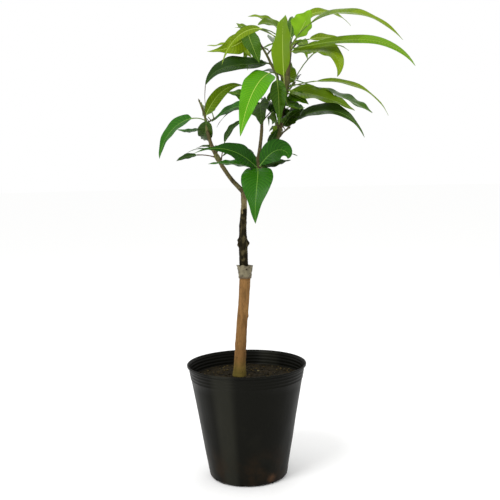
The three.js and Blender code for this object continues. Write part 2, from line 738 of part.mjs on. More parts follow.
function twigSolid({ root, tip }) {
  const path = [root.toArray(), tip.toArray()];
  const radii = [twigRule.radius, twigRule.tipRadius];
  return limbTube({ path, radii, sides: twigRule.sides, steps: 1 });
}

// All leading leaves, then the seeded twigs. A seeded leaf that would leave its mass's reach,
// touch a limb or meet another leaf is skipped, and so is a twig that keeps no leaf.
function growCrown() {
  const grown = {};
  Object.entries(masses).forEach(([name, mass]) => {
    const leaves = mass.leaves.map((leaf) => ({ ...leaf, root: rootOn(mass, leaf.at, leaf.azimuth) }));
    grown[name] = { leaves, twigs: [], samples: leaves.map(leafSamples) };
  });
  Object.entries(masses).forEach(([name, mass]) => {
    const random = seededRandom(mass.fill.seed);
    const centre = vector(mass.space.centre);
    for (let index = 0; index < mass.fill.twigs; index += 1) {
      const twig = growTwig(mass, index, random);
      const kept = twig.leaves.filter((leaf) => {
        const samples = leafSamples(leaf);
        const others = Object.values(grown).flatMap((entry) => entry.samples.flat());
        const inside = samples.every(({ point }) => point.distanceTo(centre) < mass.space.radius);
        const fits = inside && clearOfLimbs(samples) && clearOfLeaves(samples, others);
        if (fits) {
          grown[name].samples.push(samples);
        }
        return fits;
      });
      if (kept.length > 0) {
        grown[name].twigs.push(twig);
        grown[name].leaves.push(...kept);
      }
    }
  });
  return grown;
}

function makeMass(mass, { leaves, twigs }) {
  const core = mass.stem ? stemTube(mass.stem) : collarTube(mass.collar);
  const parts = [core, ...twigs.map(twigSolid), ...leaves.map(leafSolid)];
  const joined = parts.reduce((solid, part) => solid.add(part));
  return cutClear(joined, ...Object.keys(limbs));
}

// ---------------------------------------------------------------- the plant

const plant = new THREE.Group();
const crown = growCrown();

plant.add(toMesh('nursery_pot', makePot(), finishes.blackPlastic));
plant.add(toMesh('potting_soil', makeSoil(), finishes.earth));
plant.add(toMesh('rootstock_trunk', limbTube(limbs.rootstock_trunk), finishes.tanBark));
plant.add(toMesh('graft_wrap', makeWrap(), finishes.tape));
plant.add(toMesh('scion_stem', makeScion(), finishes.darkBark));
plant.add(toMesh('bough_right', cutClear(limbTube(limbs.bough_right), 'scion_stem'), finishes.greyBark));
plant.add(toMesh(
  'bough_left',
  cutClear(limbTube(limbs.bough_left), 'scion_stem', 'bough_right'),
  finishes.greyBark,
));
plant.add(toMesh('bough_middle', cutClear(limbTube(limbs.bough_middle), 'bough_right'), finishes.greyBark));
plant.add(toMesh('bough_upper', cutClear(limbTube(limbs.bough_upper), 'bough_right'), finishes.greyBark));
Object.entries(masses).forEach(([name, mass]) => {
  plant.add(toMesh(name, makeMass(mass, crown[name]), finishes.leafGreen));
});

export default plant;
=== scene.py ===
"""A grafted mango sapling in its black nursery pot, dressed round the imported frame.

Sizes in the tables are millimetres, as in the part's own source. Meshes are in metres.
"""

import math

import bmesh
import bpy
import numpy as np
from mathutils import Matrix, Vector, noise


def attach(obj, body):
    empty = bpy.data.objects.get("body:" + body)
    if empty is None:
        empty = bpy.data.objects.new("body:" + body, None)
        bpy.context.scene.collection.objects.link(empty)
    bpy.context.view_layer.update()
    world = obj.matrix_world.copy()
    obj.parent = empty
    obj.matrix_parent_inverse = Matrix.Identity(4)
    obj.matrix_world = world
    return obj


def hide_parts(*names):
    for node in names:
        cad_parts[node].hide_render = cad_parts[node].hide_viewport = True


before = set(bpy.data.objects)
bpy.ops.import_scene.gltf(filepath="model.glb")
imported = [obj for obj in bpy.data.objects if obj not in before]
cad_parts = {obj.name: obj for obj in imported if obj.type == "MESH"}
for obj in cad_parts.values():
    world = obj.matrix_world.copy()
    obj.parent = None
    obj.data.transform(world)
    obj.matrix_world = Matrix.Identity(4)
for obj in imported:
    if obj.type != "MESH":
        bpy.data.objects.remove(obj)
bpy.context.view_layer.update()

MM = 0.001

# ---------------------------------------------------------------- sizes shared with the solids

POT = dict(height=229, rim=120, base=78, corner=7, wall=1.4, lip_height=5, lip_stand=3, lip_edge=1.4)
RIBS = dict(count=4, pitch=6.5, crest=0.6, half=1.5, stand=0.75)
DRAINS = dict(turn=0.8, count=8, radius=4, length=30, height=2)
SOIL = dict(top=203, shoulder=45, edge_drop=3, air=0.3)

LIMBS = {
    "rootstock_trunk": dict(
        path=[(-15, 0, 203.3), (-12, 0, 251), (-8, 2, 306), (-3, 2, 356), (1, 0, 415)],
        radii=[11.9, 11.4, 10.9, 10.8, 11.2],
        flare=dict(extra=2.6, height=12),
    ),
    "scion_stem": dict(
        path=[(-1, 0, 408), (-2, 0, 441), (-2, -2, 471), (-2, -2, 503), (1, 0, 542), (1, 2, 570)],
        radii=[8.8, 8.8, 8.4, 7.2, 6, 5.8],
    ),
    "bough_right": dict(
        path=[(1, 2, 566), (12, 4, 595), (28, 4, 623), (51, 8, 652), (70, 10, 681), (80, 10, 727),
              (89, 6, 779), (96, 0, 836)],
        radii=[5.8, 5.7, 5.4, 5, 4.7, 4.5, 4.3, 3.4],
    ),
    "bough_left": dict(
        path=[(1, 1, 571), (-7, 3, 580), (-24, 7, 599), (-41, 12, 625), (-58, 17, 657), (-65, 19, 678),
              (-69, 20, 694)],
        radii=[4.8, 4.8, 4.3, 4.1, 4, 3.8, 3.4],
    ),
    "bough_middle": dict(
        path=[(27, 4, 618), (34, 0, 654), (38, -6, 685), (39, -8, 704)],
        radii=[4.2, 3.6, 3.3, 3],
    ),
    "bough_upper": dict(
        path=[(83, 10, 738), (77, 3, 757), (72, -3, 778), (71, -6, 795)],
        radii=[3.4, 3.2, 3, 2.8],
    ),
}

# The old bud knobs round the scion.
KNOBS = [
    dict(height=468, azimuth=185, radius=4.4),
    dict(height=477, azimuth=170, radius=4.2),
    dict(height=471, azimuth=5, radius=5.2),
]

WRAP = dict(bottom=401, top=428, centre=(0.5, 0), lower=12.6, waist=13.2, upper=16, waist_at=0.45)

GAP = 0.3  # air between a collar and its limb
COLLAR_WALL = 1.7
LEAF_STEPS = 24  # steps in which a leaf's arc is worked out
SAMPLES = dict(leaf=13, limb=41)  # points along a leaf or limb that judge its room
CROWDED_ROOT = 0.35  # part of a leaf next to its root that may stand close to its neighbours
LIMB_AIR = 3
LEAF_AIR = 7
# How a blade's width runs from its foot to its tip, as shares of its length.
OUTLINE = dict(fullness=0.85, taper=0.25, broadest=0.905, drip_from=0.4, drip_over=0.4)
TWIG = dict(
    radius=1.8, tip=1.4, length=(18, 34), rise=(20, 50), turn=12, stem_places=(0.3, 0.8), collar_margin=4,
    leaf_fan=50, leaf_turn=10, leaf_roll=20, leaf_places=(0.7, 0.95), petiole=(12, 30), blade=(80, 130),
    slenderness=0.25, leaf_rise=(5, 60), droop=(40, 85),
)
# The finer shoots on the twigs, each with a bud and, where there is room, a young leaf.
SHOOT = dict(
    seed=21, places=(0.35, 0.6), rise=50, length=7, radii=[1.0, 0.7], bud=3.2, leaf_rise=25, petiole=6,
    blade=(34, 62), width=(10, 15), droop=50, roll=25,
)


def leading(at, azimuth, rise, petiole, blade, width, tone, **shape):
    """A leaf that is set one by one: where on its stem or limb, which way, its sizes, its greens.

    shape may name degrees of droop, sway and roll, how late it bends, where its belly is, how far
    its tip is drawn out in a drip, how much it waves, the tone that its tip has from the turn on,
    and the length of a dry tail.
    """
    leaf = dict(at=at, azimuth=azimuth, rise=rise, petiole=petiole, blade=blade, width=width, tone=tone)
    leaf.update(droop=0, sway=0, bend=1, roll=0, belly=0.75, drip=0.3, wave=1, tip=tone, turn=0.5, tail=0)
    return dict(leaf, **shape)


# Stems and bare stubs are limbs of their own. A collar runs round a limb from one height to another.
# The leaves stand in the solids too; the finer ones are small leaves that only fill gaps here.
MASSES = {
    "foliage_left_tip": dict(
        stem=dict(path=[(-69, 20, 694), (-71, 20, 711), (-73, 20, 725)], radii=[3.4, 2.8, 1.8]),
        stubs=[dict(path=[(-72, 20, 718), (-77, 20, 736), (-83, 20, 752)], radii=[2.4, 2.2, 1.5])],
        leaves=[
            leading(0.87, 35, 61, 2, 120, 25, "olive", droop=68, roll=65, bend=1.6, belly=0.7, drip=0),
            leading(0.87, 101, 48, 10, 61, 20, "olive", droop=40, roll=60),
            leading(0.71, -67, -19, 3, 70, 33, "moss", droop=168, roll=31, sway=-18, bend=0.4),
            leading(0.58, 149, 36, 32, 116, 39, "mid", droop=119, roll=-48, sway=31, bend=0.7, belly=0.7,
                    drip=0.1, wave=0.5),
            leading(0.34, 115, -20, 32, 70, 14, "mid", droop=-32, roll=-37, sway=31, bend=0.8, belly=0.8,
                    drip=0),
        ],
        fill=dict(seed=172, twigs=2, leaves=3, azimuth=100, fan=60),
        space=dict(centre=(-80, 75, 725), radius=115),
    ),
    "foliage_left_low": dict(
        collar=dict(limb="bough_left", start=631, end=648),
        leaves=[
            leading(642, -167, 17, 35, 44, 16, "dark", droop=44, roll=-39, sway=6, belly=0.85, drip=0),
            leading(636, 15, 82, 33, 71, 19, "dark", droop=74, roll=16, sway=27, bend=1.7, belly=0.9,
                    drip=0),
        ],
        fill=dict(seed=79, twigs=1, leaves=3, azimuth=110, fan=0),
        space=dict(centre=(-50, 80, 655), radius=105),
    ),
    "foliage_front": dict(
        stem=dict(path=[(27, 4, 613), (28, -10, 615), (29, -24, 618)], radii=[3.2, 3, 2.4]),
        leaves=[
            leading(0.98, -137, 38, 2, 148, 43, "deep", droop=63, roll=-64, sway=-24, bend=1.4, belly=0.5,
                    drip=0.7),
            leading(0.88, -174, 19, 10, 87, 28, "mid", droop=25, roll=-25),
            leading(1, -87, 0, 6, 137, 62, "mid", droop=95, sway=-25, bend=0.8, wave=0.5),
            leading(0.94, -12, 50, 6, 80, 47, "deep", droop=170, roll=75, sway=15, bend=3.2, belly=1.15,
                    drip=0, wave=0.4, tip="mid", turn=0.35),
            leading(0.84, 36, 16, 10, 76, 26, "dark", droop=10, roll=30),
            leading(0.88, 24, 64, 52, 40, 16, "dark", droop=10, roll=50),
        ],
        fill=dict(seed=174, twigs=1, leaves=3, azimuth=75, fan=0),
        space=dict(centre=(30, 60, 620), radius=110),
    ),
    "foliage_middle": dict(
        stem=dict(path=[(39, -8, 704), (41, -9, 719), (41, -10, 734)], radii=[3, 2.6, 1.8]),
        leaves=[
            leading(0.88, 94, 57, 10, 90, 30, "dark", droop=160, sway=-10),
            leading(0.76, 164, 59, 18, 68, 36, "leafy", droop=60, roll=-50),
            leading(0.5, 123, 60, 45, 105, 27, "mid", droop=98, roll=-49, sway=34, bend=0.6, belly=0.95,
                    drip=0.1),
            leading(0.1, 140, 64, 55, 84, 12, "dark", droop=118, roll=-30, sway=2, bend=0.8),
            leading(0.1, 40, 45, 30, 26, 24, "dark", droop=10, roll=60),
        ],
        finer=[
            leading(0.98, -110, 46, 30, 53, 46, "moss", droop=165, sway=45, roll=50),
        ],
        fill=dict(seed=64, twigs=2, leaves=3, azimuth=110, fan=60),
        space=dict(centre=(25, 80, 740), radius=115),
    ),
    "foliage_right_low": dict(
        collar=dict(limb="bough_right", start=674, end=701),
        leaves=[
            leading(679, -15, 52, 46, 172, 46, "grey", droop=115, roll=33, sway=-35, bend=1.1, belly=0.6,
                    drip=0.6, wave=0.6),
            leading(696, -62, 51, 12, 82, 46, "dark", droop=60, roll=40),
        ],
        finer=[
            leading(695, -117, 56, 15, 90, 16, "moss", droop=111, sway=27, roll=45),
            leading(690, -133, -4, 2, 20, 31, "olive", droop=37, roll=47),
            leading(697, -25, 55, 2, 55, 46, "moss", droop=29, sway=45, roll=51),
        ],
        fill=dict(seed=97, twigs=2, leaves=3, azimuth=75, fan=60),
        space=dict(centre=(105, 85, 715), radius=115),
    ),
    "foliage_right": dict(
        collar=dict(limb="bough_right", start=757, end=796),
        leaves=[
            leading(775, -28, 11, 52, 170, 20, "olive", droop=74, roll=31, sway=45, bend=1.6, belly=0.8,
                    wave=0.8, tip="lime", turn=0.2),
            leading(768, -31, -11, 2, 147, 50, "olive", droop=20, roll=30, bend=1.7, belly=0.6, drip=0.1),
            leading(791, -2, -18, 48, 137, 44, "leafy", droop=11, roll=9, sway=-45, bend=0.9, belly=0.95,
                    drip=0),
            leading(773, 78, 60, 8, 75, 34, "olive", droop=30, roll=15),
            leading(766, 15, 61, 89, 90, 16, "olive", droop=97, roll=30, sway=9, bend=2.2),
            leading(762, -97, 40, 46, 201, 44, "light", droop=49, roll=40, sway=9, bend=2.7, belly=0.65,
                    drip=0.1),
            leading(763, -45, -18, 5, 55, 28, "leafy", droop=14, roll=45),
        ],
        finer=[
            leading(759, -90, -50, 2, 90, 43, "leafy", droop=-60, sway=45, roll=-8),
        ],
        fill=dict(seed=154, twigs=3, leaves=3, azimuth=80, fan=50),
        space=dict(centre=(110, 90, 790), radius=125),
    ),
    "foliage_upper_left": dict(
        stem=dict(
            path=[(71, -6, 795), (61, -9, 814), (50, -4, 838), (37, 2, 860), (23, 5, 876), (15, 6, 884)],
            radii=[2.8, 2.6, 2.3, 2.1, 1.9, 1.6],
        ),
        leaves=[
            leading(0.06, -124, 18, 23, 182, 50, "bright", droop=81, roll=-22, sway=14, bend=0.4,
                    belly=0.55, drip=0, wave=1.2),
            leading(0.05, -84, -44, 16, 93, 32, "leafy", droop=60, roll=10),
            leading(0.25, -160, -4, 5, 163, 49, "dark", droop=56, roll=-37, sway=34, bend=3, belly=0.85,
                    wave=0.5, tail=45),
            leading(1, -91, -6, 2, 96, 35, "leafy", droop=57, roll=17, sway=45, bend=0.4, belly=0.95,
                    drip=0),
            leading(0.97, -151, -47, 2, 52, 32, "lime", droop=85, roll=-24, sway=-5, bend=0.7),
            leading(0.94, 163, -35, 7, 84, 25, "lime", droop=-42, roll=-25, sway=-1, bend=0.9),
            leading(0.89, -128, -61, 10, 107, 39, "lime", droop=-54, roll=-75, sway=-23, bend=0.4,
                    drip=0.6),
            leading(1, 126, 34, 9, 33, 14, "olive", droop=10, roll=-36, sway=3),
        ],
        back_tones=("leafy", "olive", "mid", "fresh"),
        fill=dict(seed=39, twigs=3, leaves=3, azimuth=100, fan=50),
        space=dict(centre=(35, 80, 840), radius=125),
    ),
    "foliage_top": dict(
        stem=dict(path=[(96, 0, 836), (97, 1, 846), (98, 2, 857)], radii=[3.4, 3, 2]),
        leaves=[
            leading(0.44, -138, 52, 85, 132, 17, "lime", droop=123, roll=-75, bend=0.9, belly=0.7,
                    drip=0.5),
            leading(0.71, -38, 60, 54, 210, 34, "olive", droop=111, roll=27, sway=16, bend=0.8, belly=0.5,
                    drip=0.1, wave=0.6, tip="lime", turn=0.3),
            leading(0.49, 0, 60, 24, 61, 64, "spring", droop=-2, roll=-39, sway=-10, bend=0.9, belly=1.15),
            leading(0.83, 83, 64, 20, 71, 34, "leafy", droop=30),
            leading(0.82, 173, 72, 23, 86, 26, "olive", droop=79, roll=-34, sway=21, bend=1.1, belly=0.8,
                    drip=0.1, tip="lime", turn=0.3),
            leading(0.7, -160, 72, 29, 70, 29, "olive", droop=104, roll=-44, sway=26, bend=1.2, belly=0.8,
                    drip=0.1),
            leading(0.32, -16, 1, 2, 144, 48, "olive", droop=142, roll=32, sway=-45, bend=3.2, belly=0.6,
                    drip=0, tip="lime", turn=0.42),
            leading(0.57, -35, 3, 20, 269, 23, "olive", droop=57, roll=49, sway=-11, bend=2.7, belly=0.95,
                    drip=0.1, wave=0.6, tip="fresh", turn=0.4),
            leading(0.85, 22, 27, 43, 92, 22, "lime", droop=34, roll=48, sway=15, bend=0.8, belly=0.85),
            leading(0.91, 29, 80, 41, 140, 23, "lime", droop=124, roll=40, sway=-4),
        ],
        back_tones=("lime", "olive", "fresh", "leafy"),
        fill=dict(seed=153, twigs=3, leaves=3, azimuth=95, fan=60),
        space=dict(centre=(110, 90, 880), radius=130),
    ),
}

# ---------------------------------------------------------------- limbs and leaves by rule


def mix(start, end, share):
    return start + (end - start) * share


def unit(vectors):
    return vectors / np.linalg.norm(vectors, axis=-1, keepdims=True)


def aimed(azimuth, rise):
    """Directions from azimuth, which turns from +X to the back, and rise, both in degrees."""
    around, up = np.broadcast_arrays(np.radians(azimuth), np.radians(rise))
    return np.stack([np.cos(up) * np.cos(around), np.cos(up) * np.sin(around), np.sin(up)], axis=-1)


def curve_points(path, shares):
    """Places at shares 0 to 1 of a smooth curve through the points of a path."""
    knots = np.array(path, float)
    knots = np.vstack([2 * knots[0] - knots[1], knots, 2 * knots[-1] - knots[-2]])
    place = np.clip(shares, 0, 1) * (len(path) - 1)
    before = np.minimum(place.astype(int), len(path) - 2)
    part = (place - before)[:, None]
    first, start, end, last = (knots[before + step] for step in range(4))
    leave, arrive = (end - first) / 2, (last - start) / 2
    cubic = 2 * start - 2 * end + leave + arrive
    square = 3 * end - 3 * start - 2 * leave - arrive
    return cubic * part**3 + square * part**2 + leave * part + start


def limb_at(limb, shares):
    """Middle line, radii and directions of a limb at shares 0 to 1 of its points."""
    shares = np.atleast_1d(np.array(shares, float))
    points = curve_points(limb["path"], shares)
    radii = np.interp(shares * (len(limb["radii"]) - 1), range(len(limb["radii"])), limb["radii"])
    if "flare" in limb:
        rise = points[:, 2] - limb["path"][0][2]
        radii = radii + limb["flare"]["extra"] * np.exp(-rise / limb["flare"]["height"])
    step = 1e-4
    tangents = unit(curve_points(limb["path"], shares + step) - curve_points(limb["path"], shares - step))
    return points, radii, tangents


def share_at_height(limb, height):
    shares = np.linspace(0, 1, 401)
    heights = limb_at(limb, shares)[0][:, 2]
    return shares[np.argmax(heights >= height)]


def leaf_directions(leaf, shares):
    rise = leaf["rise"] - leaf["droop"] * shares ** leaf["bend"]
    return aimed(leaf["azimuth"] + leaf["sway"] * shares, rise)


def leaf_path(leaf):
    """Points along the midrib from the petiole's root to the tip."""
    ways = leaf_directions(leaf, np.linspace(0, 1, LEAF_STEPS + 1))
    strides = unit(ways[:-1] + ways[1:]) * (leaf["petiole"] + leaf["blade"]) / LEAF_STEPS
    return np.vstack([leaf["root"], leaf["root"] + np.cumsum(strides, axis=0)])


def leaf_stations(leaf, path, shares):
    """Places, side and face directions of a leaf at shares of its whole length."""
    place = np.clip(shares, 0, 1) * LEAF_STEPS
    before = np.minimum(place.astype(int), LEAF_STEPS - 1)
    part = (place - before)[:, None]
    points = path[before] * (1 - part) + path[before + 1] * part
    around = np.radians(leaf["azimuth"] + leaf["sway"] * shares)
    level = np.stack([-np.sin(around), np.cos(around), 0 * around], axis=-1)
    upper = np.cross(leaf_directions(leaf, np.clip(shares, 0, 1)), level)
    roll = math.radians(leaf["roll"])
    side = level * math.cos(roll) + upper * math.sin(roll)
    face = upper * math.cos(roll) - level * math.sin(roll)
    return points, side, face


def smooth(values):
    """Smooth steps from 0 to 1."""
    values = np.clip(values, 0, 1)
    return values * values * (3 - 2 * values)


def blade_outline(leaf, shares):
    """Width of a blade along its length, as a part of its greatest width."""
    swell = np.maximum(np.sin(np.pi * np.clip(shares, 0, 1) ** leaf["belly"]), 0) ** OUTLINE["fullness"]
    drawn = 1 - leaf["drip"] * smooth((shares - OUTLINE["drip_from"]) / OUTLINE["drip_over"])
    return swell * (1 - OUTLINE["taper"] * shares) * drawn / OUTLINE["broadest"]


def leaf_samples(leaf):
    """Points spread over a leaf, and their shares of its length."""
    shares = np.linspace(0, 1, SAMPLES["leaf"])
    points, side, _ = leaf_stations(leaf, leaf_path(leaf), shares)
    blade = np.maximum((shares * (leaf["petiole"] + leaf["blade"]) - leaf["petiole"]) / leaf["blade"], 0)
    reach = side * (leaf["width"] / 2 * blade_outline(leaf, blade))[:, None]
    return np.vstack([points - reach, points, points + reach]), np.tile(shares, 3)


def seeded(seed):
    """Repeatable random numbers from 0 to 1."""
    word = 0xFFFFFFFF
    state = seed & word

    def draw():
        nonlocal state
        state = (state + 0x6D2B79F5) & word
        mixed = ((state ^ (state >> 15)) * (1 | state)) & word
        mixed = ((mixed + (((mixed ^ (mixed >> 7)) * (61 | mixed)) & word)) & word) ^ mixed
        return (mixed ^ (mixed >> 14)) / (word + 1)

    return draw


def root_on(mass, at, azimuth):
    """Where a stalk or twig that leaves towards an azimuth has its root."""
    if "stem" in mass:
        return limb_at(mass["stem"], at)[0][0]
    limb = LIMBS[mass["collar"]["limb"]]
    points, radii, _ = limb_at(limb, share_at_height(limb, at))
    return points[0] + aimed(azimuth, 0) * (radii[0] + GAP + COLLAR_WALL / 2)


def grow_twig(mass, index, draw):
    """A short twig with its leaves, by the seeded rule."""
    fill = mass["fill"]

    def between(low, high):
        return mix(low, high, draw())

    azimuth = fill["azimuth"] + (index - (fill["twigs"] - 1) / 2) * fill["fan"]
    azimuth += between(-TWIG["turn"], TWIG["turn"])
    rise = between(*TWIG["rise"])
    length = between(*TWIG["length"])
    place = (index + 0.5) / fill["twigs"]
    if "stem" in mass:
        at = mix(*TWIG["stem_places"], place)
    else:
        margin = TWIG["collar_margin"]
        at = mix(mass["collar"]["start"] + margin, mass["collar"]["end"] - margin, place)
    root = root_on(mass, at, azimuth)
    tip = root + aimed(azimuth, rise) * length
    leaves = []
    for number in range(fill["leaves"]):
        blade = between(*TWIG["blade"])
        turned = azimuth + (number - (fill["leaves"] - 1) / 2) * TWIG["leaf_fan"]
        turned += between(-TWIG["leaf_turn"], TWIG["leaf_turn"])
        leaf_rise = between(*TWIG["leaf_rise"])
        petiole = between(*TWIG["petiole"])
        droop = between(*TWIG["droop"])
        roll = between(-TWIG["leaf_roll"], TWIG["leaf_roll"])
        width = blade * TWIG["slenderness"]
        leaf = leading(0, turned, leaf_rise, petiole, blade, width, "", droop=droop, roll=roll)
        leaf["root"] = mix(root, tip, mix(*TWIG["leaf_places"], number / max(fill["leaves"] - 1, 1)))
        leaves.append(leaf)
    return dict(root=root, tip=tip, leaves=leaves)


def grow_crown():
    """All leading leaves, then the seeded twigs, then the finer shoots, as far as there is room."""
    sampled = [limb_at(limb, np.linspace(0, 1, SAMPLES["limb"])) for limb in LIMBS.values()]
    limb_points = np.vstack([points for points, _, _ in sampled])
    limb_radii = np.hstack([radii for _, radii, _ in sampled])
    crown = {name: dict(leaves=[], twigs=[]) for name in MASSES}
    taken, taken_shares = [], []

    def keep(name, leaf, points, shares):
        taken.append(points)
        taken_shares.append(shares)
        crown[name]["leaves"].append(leaf)

    def set_leading(name, leaf):
        leaf["root"] = root_on(MASSES[name], leaf["at"], leaf["azimuth"])
        keep(name, leaf, *leaf_samples(leaf))

    def keep_if_room(name, leaf):
        """Keeps a leaf that stays in its mass's space, clear of the limbs and of other leaves."""
        points, shares = leaf_samples(leaf)
        space = MASSES[name]["space"]
        free = shares >= CROWDED_ROOT
        away = np.linalg.norm(points - np.array(space["centre"], float), axis=1)
        to_limbs = np.linalg.norm(points[free][:, None] - limb_points[None], axis=2)
        others, other_shares = np.vstack(taken), np.hstack(taken_shares)
        to_leaves = np.linalg.norm(points[:, None] - others[None], axis=2)
        counts = free[:, None] | (other_shares >= CROWDED_ROOT)[None]
        fits = (
            (away < space["radius"]).all()
            and (to_limbs > limb_radii + LIMB_AIR).all()
            and (to_leaves[counts] > LEAF_AIR).all()
        )
        if fits:
            keep(name, leaf, points, shares)
        return fits

    for name, mass in MASSES.items():
        for leaf in mass["leaves"]:
            set_leading(name, leaf)

    for name, mass in MASSES.items():
        draw = seeded(mass["fill"]["seed"])
        for index in range(mass["fill"]["twigs"]):
            twig = grow_twig(mass, index, draw)
            if any([keep_if_room(name, leaf) for leaf in twig["leaves"]]):
                crown[name]["twigs"].append(twig)

    draw = seeded(SHOOT["seed"])
    for name, mass in MASSES.items():
        for leaf in mass.get("finer", ()):
            set_leading(name, leaf)
        for twig in crown[name]["twigs"]:
            twig["shoots"] = []
            for share in SHOOT["places"]:
                foot, azimuth = mix(twig["root"], twig["tip"], share), 360 * draw()
                tip = foot + aimed(azimuth, SHOOT["rise"]) * SHOOT["length"]
                twig["shoots"].append((foot, tip))
                blade, width = mix(*SHOOT["blade"], draw()), mix(*SHOOT["width"], draw())
                leaf = leading(0, azimuth, SHOOT["leaf_rise"], SHOOT["petiole"], blade, width, "",
                               droop=SHOOT["droop"], roll=mix(-SHOOT["roll"], SHOOT["roll"], draw()))
                leaf["root"] = tip
                keep_if_room(name, leaf)
    return crown


# ---------------------------------------------------------------- finishes


def both_ways(operation):
    """An operator on flows and its reflected form, which add a node for that operation."""

    def plain(flow, other):
        return flow.recipe.add("ShaderNodeMath", dict(operation=operation), {0: flow, 1: other})

    def reflected(flow, other):
        return flow.recipe.add("ShaderNodeMath", dict(operation=operation), {0: other, 1: flow})

    return plain, reflected


class Flow:
    """A value, colour or vector on its way through a finish. Arithmetic on values adds its nodes."""

    def __init__(self, recipe, socket):
        self.recipe = recipe
        self.socket = socket

    __add__, __radd__ = both_ways("ADD")
    __sub__, __rsub__ = both_ways("SUBTRACT")
    __mul__, __rmul__ = both_ways("MULTIPLY")
    __truediv__, __rtruediv__ = both_ways("DIVIDE")


class Recipe:
    """The nodes of one finish: they end in one Principled surface."""

    def __init__(self, name, **fixed):
        self.material = bpy.data.materials.new(name)
        self.material.use_nodes = True
        self.nodes = self.material.node_tree.nodes
        self.links = self.material.node_tree.links
        self.surface = self.nodes["Principled BSDF"]
        for socket, value in fixed.items():
            self.set(socket.replace("_", " ").title().replace("Ior", "IOR"), value)

    def set(self, socket, value):
        self.feed(self.surface.inputs[socket], value)

    def feed(self, socket, value):
        if isinstance(value, Flow):
            self.links.new(value.socket, socket)
        else:
            socket.default_value = value

    def add(self, kind, settings=None, inputs=None, output=0):
        """A node of that kind: its settings first, then the values or flows of its sockets."""
        node = self.nodes.new(kind)
        for setting, value in (settings or {}).items():
            setattr(node, setting, value)
        for socket, value in (inputs or {}).items():
            self.feed(node.inputs[socket], value)
        return Flow(self, node.outputs[output])

    def place(self, stretch=(1, 1, 1)):
        """The piece's own coordinates in metres, stretched."""
        own = self.add("ShaderNodeTexCoord", output="Object")
        return self.add("ShaderNodeMapping", inputs={"Vector": own, "Scale": stretch})

    def along(self, axis):
        """The piece's own coordinate in metres along axis 0, 1 or 2."""
        return self.add("ShaderNodeSeparateXYZ", inputs={0: self.place()}, output=axis)

    def speckle(self, scale, detail=3, stretch=(1, 1, 1)):
        """Soft noise from 0 to 1. scale counts its patches in a metre."""
        inputs = {"Vector": self.place(stretch), "Scale": scale, "Detail": detail, "Roughness": 0.55}
        return self.add("ShaderNodeTexNoise", inputs=inputs)

    def between(self, value, low, high):
        """0 below low, 1 above high, and smooth between them."""
        inputs = {"Value": value, "From Min": low, "From Max": high}
        return self.add("ShaderNodeMapRange", dict(interpolation_type="SMOOTHSTEP"), inputs)

    def blend(self, mask, first, second):
        """first where mask is 0, second where it is 1. Either is a colour or a flow of one."""
        node = self.nodes.new("ShaderNodeMix")
        node.data_type = "RGBA"
        slots = [socket for socket in node.inputs if socket.type == "RGBA"]
        self.feed(node.inputs[0], mask)
        self.feed(slots[0], first)
        self.feed(slots[1], second)
        return Flow(self, next(socket for socket in node.outputs if socket.type == "RGBA"))

    def relief(self, height, depth, strength=1.0):
        """Makes height, from 0 to 1, stand out by depth metres."""
        inputs = {"Height": height, "Distance": depth, "Strength": strength}
        self.set("Normal", self.add("ShaderNodeBump", inputs=inputs))


def tint(red, green, blue):
    """A colour from its 0 to 255 screen values."""

    def linear(value):
        value /= 255
        return value / 12.92 if value <= 0.04045 else ((value + 0.055) / 1.055) ** 2.4

    return (linear(red), linear(green), linear(blue), 1)


# The greens of each kind of leaf: upper face, a darker copy painted as shade on one side of each vein, veins,
# underside.
TONES = {
    "spring": [(136, 190, 14), (124, 180, 10), (166, 208, 60), (134, 184, 30)],
    "light": [(114, 164, 2), (102, 154, 2), (150, 190, 50), (110, 144, 12)],
    "bright": [(77, 143, 2), (66, 130, 2), (112, 170, 20), (116, 158, 24)],
    "fresh": [(92, 132, 2), (82, 122, 2), (128, 160, 24), (112, 146, 24)],
    "lime": [(110, 136, 4), (98, 124, 3), (142, 162, 34), (112, 138, 24)],
    "olive": [(80, 108, 1), (70, 96, 1), (110, 132, 20), (92, 118, 16)],
    "leafy": [(56, 94, 2), (47, 82, 2), (86, 118, 20), (78, 108, 20)],
    "mid": [(34, 90, 1), (26, 76, 1), (60, 112, 14), (70, 106, 20)],
    "deep": [(25, 71, 1), (19, 59, 1), (44, 92, 8), (60, 92, 18)],
    "dark": [(29, 58, 1), (22, 47, 1), (46, 76, 10), (50, 76, 12)],
    "moss": [(38, 64, 1), (32, 55, 1), (62, 86, 14), (60, 84, 14)],
    "grey": [(46, 72, 18), (38, 62, 14), (76, 98, 44), (72, 96, 40)],
}
# How deep the veins lie in the young, smooth leaves, as a part of the usual depth.
SMOOTH_TONES = {"spring": 0.3, "light": 0.35, "bright": 0.4, "fresh": 0.6, "lime": 0.6, "leafy": 0.7}
TONE_PARTS = ("blade", "shade", "vein", "under")
UPPER_PARTS = TONE_PARTS[:3]

STALK_COLOURS = {
    "stalk_brown": (74, 58, 34),
    "stalk_green": (92, 116, 44),
    "stalk_pale": (158, 172, 84),
    "rib_pale": (172, 196, 84),
    "rib_olive": (132, 158, 60),
    "rib_green": (98, 140, 46),
    "rib_dull": (70, 98, 34),
}
# Which stalk and which midrib each kind of leaf has.
STALKS_OF = {
    "spring": ("stalk_pale", "rib_pale"),
    "light": ("stalk_pale", "rib_pale"),
    "bright": ("stalk_green", "rib_pale"),
    "fresh": ("stalk_green", "rib_pale"),
    "lime": ("stalk_green", "rib_pale"),
    "olive": ("stalk_green", "rib_olive"),
    "leafy": ("stalk_green", "rib_olive"),
    "mid": ("stalk_green", "rib_green"),
    "deep": ("stalk_brown", "rib_green"),
    "dark": ("stalk_brown", "rib_dull"),
    "moss": ("stalk_brown", "rib_dull"),
    "grey": ("stalk_brown", "rib_green"),
}


